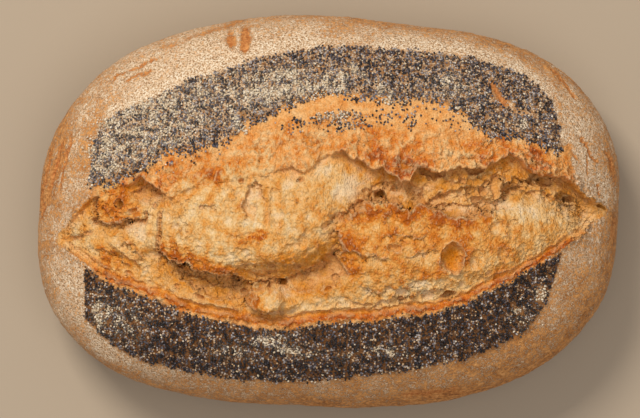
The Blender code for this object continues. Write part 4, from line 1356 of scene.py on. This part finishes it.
def scatter(name, corners, faces, places, up, scales, tilt, tones):
    """One mesh of many copies, each standing on its place, turned at random, with its tones as attributes."""
    count = len(places)
    lean = up + tilt * chance.normal(0, 1, (count, 3))
    lean /= np.linalg.norm(lean, axis=1, keepdims=True)
    side = np.cross(lean, chance.normal(0, 1, (count, 3)))
    side /= np.linalg.norm(side, axis=1, keepdims=True)
    third = np.cross(lean, side)
    local = corners[None] * scales[:, None, :]
    points = places[:, None]
    for axis, direction in enumerate((side, third, lean)):
        points = points + local[:, :, axis : axis + 1] * direction[:, None]
    index = faces[None] + len(corners) * np.arange(count)[:, None, None]
    mesh = bpy.data.meshes.new(name)
    mesh.vertices.add(count * len(corners))
    mesh.vertices.foreach_set("co", points.ravel())
    mesh.loops.add(index.size)
    mesh.loops.foreach_set("vertex_index", index.ravel())
    mesh.polygons.add(count * len(faces))
    mesh.polygons.foreach_set("loop_start", np.arange(0, index.size, 3))
    mesh.update(calc_edges=True)
    for tone_name, tone in tones.items():
        attribute = mesh.attributes.new(tone_name, "FLOAT", "POINT")
        attribute.data.foreach_set("value", np.repeat(tone, len(corners)).astype(np.float32))
    mesh.shade_smooth()
    piece = bpy.data.objects.new(name, mesh)
    bpy.context.scene.collection.objects.link(piece)
    print(f"{name}: {count} copies, {len(mesh.polygons)} faces")
    return piece


# %% Scatter the seeds
BACK_POINTS = (0, CRUMB_FIRST)  # the ring points that each bed lies on
FRONT_POINTS = (CRUMB_LAST, CRUMB_LAST + LIP_ZONE + FRONT)
BACK_TONES = {"power": 0.95, "patches": 0.7, "darker to the right": 0.0, "warmth power": 1.1}
FRONT_TONES = {"power": 2.0, "patches": 1.0, "darker to the right": 0.0012, "warmth power": 0.7}


def sow(name, which, points, spacing, looks):
    """The seeds of one bed, in a close first layer and a sparse second one."""
    places, up = lay_out(*points, spacing, 0.46)
    cover = seed_cover(places[:, 0], places[:, 1])[which]
    clumping = cloud(places[:, 0], places[:, 1], 0, 3.2 * MM, 950 + which, 2)
    thin = 1.0 + 1.1 * np.minimum(clumping, 0.05)
    keep = chance.random(len(places)) < cover * thin
    places, up, cover = places[keep], up[keep], cover[keep]
    lift = chance.uniform(0.12, 0.42, len(places)) * MM
    stacked = np.clip(0.2 + 0.6 * clumping[keep], 0, 0.6) * cover
    second = (chance.random(len(places)) < stacked) & (cover > 0.8)
    lift_second = chance.uniform(0.75, 1.0, second.sum()) * MM
    over = places[second] + chance.uniform(-0.5, 0.5, (second.sum(), 3)) * MM
    positions = np.concatenate([places + up * lift[:, None], over + up[second] * lift_second[:, None]])
    directions = np.concatenate([up, up[second]])
    count = len(positions)
    scales = chance.normal(1.0, 0.09, (count, 1)) * np.ones(3)
    dusting = flour_cover(positions[:, 0], positions[:, 1])
    patchy = cloud(positions[:, 0], positions[:, 1], 0, 3.2 * MM, 955, 3)
    tone = chance.random(count) ** looks["power"] + looks["patches"] * patchy
    tone = tone - looks["darker to the right"] * np.clip(positions[:, 0] / MM - 30, 0, 60)
    warmth = chance.random(count) ** looks["warmth power"]
    dust = np.clip(dusting * chance.uniform(0.2, 1.3, count), 0, 1)
    tones = {"tone": np.clip(tone, 0, 1), "warmth": warmth, "dust": dust}
    return scatter(name, seed_corners, seed_faces, positions, directions, scales, 0.35, tones)


seeds_back = sow("poppy_seeds_back", 0, BACK_POINTS, 0.98 * MM, BACK_TONES)
seeds_front = sow("poppy_seeds_front", 1, FRONT_POINTS, 0.95 * MM, FRONT_TONES)

# %% [markdown]
# ## Flour
#
# Flour that stayed damp in the oven dried into small crumbs on the seeds. They are built as the seeds are,
# from one rough solid, and laid where the flour's mask is strongest.

# %% Scatter the flour
flour_corners, flour_faces = small_solid("one_crumb_of_flour", (1.0 * MM, 0.86 * MM, 0.55 * MM), 0.3)
flour_corners = flour_corners * (1 + 0.22 * chance.uniform(-1, 1, flour_corners.shape))
flour_parts = []
for which, points, stray in ((0, BACK_POINTS, 0.04), (1, FRONT_POINTS, 0.015)):
    places, up = lay_out(*points, 0.8 * MM, 0.5)
    dusting = flour_cover(places[:, 0], places[:, 1])
    cover = seed_cover(places[:, 0], places[:, 1])[which]
    keep = chance.random(len(places)) < np.clip(1.25 * dusting - 0.30, 0, 0.9) + stray * cover
    flour_parts.append((places[keep], up[keep]))
places = np.concatenate([part[0] for part in flour_parts])
up = np.concatenate([part[1] for part in flour_parts])
count = len(places)
lift = chance.uniform(0.45, 0.95, count)[:, None] * MM
scales = chance.uniform(0.6, 1.35, (count, 1)) * chance.uniform(0.8, 1.2, (count, 3))
crumb_places = places + up * lift
flour_tones = {"tone": chance.random(count)}
flour = scatter("flour", flour_corners, flour_faces, crumb_places, up, scales, 0.25, flour_tones)

# %% [markdown]
# ## Materials
#
# Every finish starts from a Principled BSDF. Colours are given as they look on a screen, from 0 to 255, and
# turned into the even scale that a shader works in. Two things are shared: the mottle, flecks of three sizes
# that break up every colour and roughen the surface, and the way bare bread colours as it bakes. Each is a
# node group, made once, so that all the pieces match.


# %% Colour and node helpers
def colour(red, green, blue):
    """A screen colour as a shader colour."""
    parts = [part / 255 for part in (red, green, blue)]
    return (*[part / 12.92 if part <= 0.04045 else ((part + 0.055) / 1.055) ** 2.4 for part in parts], 1)


def node(tree, kind, name, **settings):
    """Adds a node, names it, and sets its properties."""
    made = tree.nodes.new(kind)
    made.name = made.label = name
    for key, value in settings.items():
        setattr(made, key, value)
    return made


def feed(tree, target, value):
    """Links an output to a socket, or sets the socket to a number or a screen colour."""
    if isinstance(value, bpy.types.NodeSocket):
        tree.links.new(value, target)
    elif isinstance(value, tuple):
        target.default_value = colour(*value)
    else:
        target.default_value = value


def calculate(tree, operation, first, second=0.0, clamp=False):
    made = node(tree, "ShaderNodeMath", operation.lower(), operation=operation, use_clamp=clamp)
    feed(tree, made.inputs[0], first)
    feed(tree, made.inputs[1], second)
    return made.outputs[0]


def weighted(tree, *terms):
    """The sum of masks, each times its weight."""
    scaled = [calculate(tree, "MULTIPLY", mask, weight) for mask, weight in terms]
    total = scaled[0]
    for term in scaled[1:]:
        total = calculate(tree, "ADD", total, term)
    return total


def blend_colours(tree, share, first, second, kind="MIX"):
    made = node(tree, "ShaderNodeMix", "blend colours", data_type="RGBA", blend_type=kind)
    feed(tree, made.inputs[0], share)
    feed(tree, made.inputs[6], first)
    feed(tree, made.inputs[7], second)
    return made.outputs[2]


def ramp(tree, share, stops):
    """A colour ramp with stops of a position and a screen colour."""
    made = node(tree, "ShaderNodeValToRGB", "ramp")
    elements = made.color_ramp.elements
    while len(elements) < len(stops):
        elements.new(0.5)
    for element, (position, value) in zip(elements, stops):
        element.position = position
        element.color = colour(*value)
    feed(tree, made.inputs[0], share)
    return made.outputs[0]


def rescale(tree, value, low, high, new_low=0.0, new_high=1.0):
    made = node(tree, "ShaderNodeMapRange", "rescale")
    feed(tree, made.inputs[0], value)
    for socket, number in zip(range(1, 5), (low, high, new_low, new_high)):
        made.inputs[socket].default_value = number
    return made.outputs[0]


def mark(tree, name):
    return node(tree, "ShaderNodeAttribute", name, attribute_name=name).outputs["Fac"]


def noise_texture(tree, vector, scale, detail, roughness=0.55, distortion=0.0):
    made = node(tree, "ShaderNodeTexNoise", "noise")
    tree.links.new(vector, made.inputs["Vector"])
    settings = {"Scale": scale, "Detail": detail, "Roughness": roughness, "Distortion": distortion}
    for name, value in settings.items():
        made.inputs[name].default_value = value
    return made.outputs["Fac"]


# %% The mottle group
def new_group(name, inputs, outputs):
    """An empty node group with named inputs (name, socket type, default) and outputs (name, socket type)."""
    group = bpy.data.node_groups.new(name, "ShaderNodeTree")
    for socket_name, socket_type, default in inputs:
        socket = group.interface.new_socket(name=socket_name, in_out="INPUT", socket_type=socket_type)
        if default is not None:
            socket.default_value = default
    for socket_name, socket_type in outputs:
        group.interface.new_socket(name=socket_name, in_out="OUTPUT", socket_type=socket_type)
    return group, group.nodes.new("NodeGroupInput"), group.nodes.new("NodeGroupOutput")


FLECKS = {  # scale, detail, and the noise values that become 0 and 1
    "Coarse": (240, 4, 0.36, 0.64),
    "Fine": (680, 2, 0.34, 0.66),
    "Grain": (1300, 1, 0.34, 0.66),
}


def make_mottle():
    """Flecks at three sizes, as masks from 0 to 1: Coarse 4 mm, Fine 1.5 mm and Grain 0.8 mm across."""
    outputs = [(name, "NodeSocketFloat") for name in FLECKS]
    group, given, result = new_group("mottle", [("Stretch", "NodeSocketFloat", 1.0)], outputs)
    place = node(group, "ShaderNodeTexCoord", "place").outputs["Object"]
    parts = node(group, "ShaderNodeSeparateXYZ", "split")
    group.links.new(place, parts.inputs[0])
    joined = node(group, "ShaderNodeCombineXYZ", "stretched")
    group.links.new(parts.outputs["X"], joined.inputs["X"])
    stretched = calculate(group, "MULTIPLY", parts.outputs["Y"], given.outputs["Stretch"])
    group.links.new(stretched, joined.inputs["Y"])
    group.links.new(parts.outputs["Z"], joined.inputs["Z"])
    for name, (scale, detail, low, high) in FLECKS.items():
        texture = noise_texture(group, joined.outputs[0], scale, detail, 0.6)
        group.links.new(rescale(group, texture, low, high), result.inputs[name])
    return group


mottle = make_mottle()
print(f"mottle group has {len(mottle.nodes)} nodes")


def add_mottle(tree, stretch):
    made = node(tree, "ShaderNodeGroup", "mottle", node_tree=mottle)
    made.inputs["Stretch"].default_value = stretch
    return made.outputs


# %% The bread colour group
# each row of a ramp: how browned, from 0 to 1, and the colour there
CRUMB_COLOURS = [
    (0.0, (243, 217, 176)),
    (0.26, (235, 193, 132)),
    (0.5, (227, 160, 80)),
    (0.74, (209, 118, 32)),
    (1.0, (168, 78, 18)),
]
SKIN_COLOURS = [
    (0.0, (246, 205, 150)),
    (0.35, (240, 174, 102)),
    (0.6, (225, 136, 50)),
    (0.82, (202, 98, 24)),
    (1.0, (162, 74, 20)),
]
BREAD_MARKS = {"Browning": "browning", "PaintedShade": "hollow", "Torn": "torn", "PaintedHighlight": "pale"}


def make_bread_colour():
    """Bare bread from pale crumb to brown skin, with painted shade and highlight, by its marks and the
    mottle's flecks.
    """
    sockets = [(name, "NodeSocketFloat", 0.5) for name in (*BREAD_MARKS, *FLECKS)]
    group, given, result = new_group("bread_colour", sockets, [("Colour", "NodeSocketColor")])
    value = given.outputs
    coarse = rescale(group, value["Coarse"], 0, 1, -0.15, 0.15)
    fine = rescale(group, value["Fine"], 0, 1, -0.08, 0.08)
    toast = calculate(group, "ADD", calculate(group, "ADD", value["Browning"], coarse), fine, clamp=True)
    inner = ramp(group, toast, CRUMB_COLOURS)
    skin = ramp(group, toast, SKIN_COLOURS)
    bread = blend_colours(group, value["Torn"], skin, inner)
    # painted shade: hollows turn gold, and the deepest, in holes and under the ear, dark brown
    painted_shade_gold = blend_colours(group, 0.9, bread, (220, 138, 18))
    hollow = calculate(group, "MULTIPLY", value["PaintedShade"], 1.0, clamp=True)
    bread = blend_colours(group, hollow, bread, painted_shade_gold)
    deepest_painted_shade = rescale(group, value["PaintedShade"], 0.75, 1.0, 0.0, 0.8)
    bread = blend_colours(group, deepest_painted_shade, bread, (128, 78, 26))
    # painted highlight along thin edges
    edge = calculate(group, "MULTIPLY", value["PaintedHighlight"], rescale(group, value["Fine"], 0, 1, 0.5, 0.95))
    bread = blend_colours(group, edge, bread, (250, 218, 160))
    speck = rescale(group, value["Grain"], 0.0, 0.4, 0.82, 1.0)
    bread = blend_colours(group, 1.0, bread, speck, "MULTIPLY")
    flake = rescale(group, value["Grain"], 0.62, 0.95)
    flake = calculate(group, "MULTIPLY", flake, rescale(group, value["Fine"], 0.35, 0.75, 0.0, 0.32))
    # the pale flakes stay out of the painted shade
    outside_painted_shade = calculate(group, "SUBTRACT", 1.0, value["PaintedShade"], clamp=True)
    flake = calculate(group, "MULTIPLY", flake, outside_painted_shade)
    bread = blend_colours(group, flake, bread, (248, 218, 170))
    group.links.new(bread, result.inputs["Colour"])
    return group


bread_colour = make_bread_colour()
print(f"bread colour group has {len(bread_colour.nodes)} nodes")


def add_bread_colour(tree, flecks):
    made = node(tree, "ShaderNodeGroup", "bread colour", node_tree=bread_colour)
    for socket_name, mark_name in BREAD_MARKS.items():
        tree.links.new(mark(tree, mark_name), made.inputs[socket_name])
    for name in FLECKS:
        tree.links.new(flecks[name], made.inputs[name])
    return made.outputs["Colour"]


def new_material(name, roughness, specular):
    material = bpy.data.materials.new(name)
    material.use_nodes = True
    shader = material.node_tree.nodes["Principled BSDF"]
    shader.inputs["Roughness"].default_value = roughness
    shader.inputs["Specular IOR Level"].default_value = specular
    return material, material.node_tree, shader


def add_bump(tree, shader, height, strength, distance):
    bump = node(tree, "ShaderNodeBump", "bump")
    bump.inputs["Strength"].default_value = strength
    bump.inputs["Distance"].default_value = distance
    tree.links.new(height, bump.inputs["Height"])
    tree.links.new(bump.outputs["Normal"], shader.inputs["Normal"])


# %% [markdown]
# ### Crumb
#
# Torn crumb is a dry foam, orange where it was toasted and with almost no gloss. Its hollows get a painted
# golden shade, its holes a painted dark shadow and its thin edges a painted highlight. Its colour comes
# straight from the shared group, and a fine bump gives it the grain of small cells.

# %% Crumb material
crumb_material, tree, shader = new_material("torn_crumb", 0.8, 0.16)
flecks = add_mottle(tree, 0.7)
tree.links.new(add_bread_colour(tree, flecks), shader.inputs["Base Color"])
grain = weighted(tree, (flecks["Fine"], 0.6), (flecks["Grain"], 0.7))
add_bump(tree, shader, grain, 1.0, 0.45 * MM)
torn.data.materials.clear()
torn.data.materials.append(crumb_material)
print(f"crumb material has {len(tree.nodes)} nodes")

# %% [markdown]
# ### Crust
#
# Below its flour the crust is a brown rind, darkest on the base, with painted shade between the seeds, and
# beside the tear it is bare golden skin. Flour lies on it in a broken layer, thick where its mark is high and
# gone along cracks. The mark alone would give a soft airbrushed edge, so it is compared with the flecks: a
# fleck keeps its flour only where the mark is strong enough.

# %% Crust material
RIND_COLOURS = [(0.0, (112, 66, 32)), (0.45, (192, 126, 64)), (1.0, (238, 174, 106))]
BASE_COLOURS = [(0.0, (96, 58, 32)), (0.5, (134, 86, 48)), (1.0, (166, 116, 72))]
SCRAPED_COLOURS = [(0.0, (184, 106, 50)), (1.0, (222, 150, 86))]
FLOUR_COLOURS = [(0.0, (160, 120, 82)), (0.5, (234, 202, 164)), (1.0, (255, 242, 218))]
crust_material, tree, shader = new_material("baked_crust", 0.82, 0.22)
flecks = add_mottle(tree, 1.0)
bare_skin = add_bread_colour(tree, flecks)
rind_toast = weighted(tree, (flecks["Coarse"], 0.5), (flecks["Fine"], 0.5))
rind = ramp(tree, rind_toast, RIND_COLOURS)
rind = blend_colours(tree, mark(tree, "base"), rind, ramp(tree, rind_toast, BASE_COLOURS))
# painted shade in the gaps between the seeds, a dark brown over the rind
shade_between_seeds = calculate(tree, "MULTIPLY", mark(tree, "seeded"), 0.8)
rind = blend_colours(tree, shade_between_seeds, rind, (108, 70, 42))
rind = blend_colours(tree, mark(tree, "scraped"), rind, ramp(tree, flecks["Fine"], SCRAPED_COLOURS))
skin = blend_colours(tree, mark(tree, "bare"), rind, bare_skin)
threshold = weighted(tree, (flecks["Fine"], 0.34), (flecks["Grain"], 0.52), (flecks["Coarse"], 0.14))
over = calculate(tree, "SUBTRACT", mark(tree, "flour"), threshold)
powder = rescale(tree, over, -0.09, 0.09)
floury = ramp(tree, flecks["Grain"], FLOUR_COLOURS)
crust_colour = blend_colours(tree, calculate(tree, "MULTIPLY", powder, 0.92), skin, floury)
tree.links.new(crust_colour, shader.inputs["Base Color"])
rough = weighted(tree, (powder, 0.5), (flecks["Grain"], 0.6), (flecks["Fine"], 0.7))
add_bump(tree, shader, rough, 1.0, 0.5 * MM)
tree.links.new(rescale(tree, powder, 0, 1, 0.62, 0.92), shader.inputs["Roughness"])
loaf.data.materials.clear()
loaf.data.materials.append(crust_material)
print(f"crust material has {len(tree.nodes)} nodes")

# %% [markdown]
# ### Seeds and flour
#
# Poppy seeds run from near black to pale slate, with some brown ones among them, and are a little glossier
# than the crust. Each copy carries its own random tone, so one material colours them all, and flour dusts
# the ones that lie in a drift. Flour is a plain chalky cream.

# %% Seed material
SLATE = [(0.0, (24, 21, 25)), (0.4, (62, 58, 65)), (0.75, (112, 107, 114)), (1.0, (184, 174, 168))]
BROWN = [(0.0, (42, 28, 20)), (0.45, (112, 78, 52)), (1.0, (212, 176, 134))]
seed_material, tree, shader = new_material("poppy_seed", 0.5, 0.5)
flecks = add_mottle(tree, 1.0)
slate = ramp(tree, mark(tree, "tone"), SLATE)
brown = ramp(tree, mark(tree, "tone"), BROWN)
seed_colour = blend_colours(tree, rescale(tree, mark(tree, "warmth"), 0.55, 0.8), slate, brown)
dusted = calculate(tree, "MULTIPLY", mark(tree, "dust"), rescale(tree, flecks["Grain"], 0.1, 0.8), clamp=True)
seed_colour = blend_colours(tree, dusted, seed_colour, (212, 196, 172))
tree.links.new(seed_colour, shader.inputs["Base Color"])
add_bump(tree, shader, flecks["Grain"], 0.4, 0.06 * MM)
for seeds in (seeds_back, seeds_front):
    seeds.data.materials.append(seed_material)
print(f"seed material has {len(tree.nodes)} nodes")

# %% Flour material
CREAM = [(0.0, (204, 182, 150)), (0.6, (230, 213, 186)), (1.0, (243, 232, 212))]
flour_material, tree, shader = new_material("flour", 0.95, 0.1)
flecks = add_mottle(tree, 1.0)
cream = ramp(tree, mark(tree, "tone"), CREAM)
cream = blend_colours(tree, calculate(tree, "MULTIPLY", flecks["Grain"], 0.3), cream, (200, 170, 130))
tree.links.new(cream, shader.inputs["Base Color"])
add_bump(tree, shader, flecks["Grain"], 0.5, 0.1 * MM)
flour.data.materials.append(flour_material)
print(f"flour material has {len(tree.nodes)} nodes")

# %% [markdown]
# ## Hand the pieces over
#
# Every piece rides on the loaf's one body. The crust and the crumb together stand for the imported model's
# plain solid, which is hidden.

# %% Finish
SLOTS = {"crust": [loaf], "crumb": [torn], "poppy_seeds": [seeds_back, seeds_front], "flour": [flour]}
for slot_name, pieces in SLOTS.items():
    for piece in pieces:
        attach(piece, "root")
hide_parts("loaf")
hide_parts("loaf")
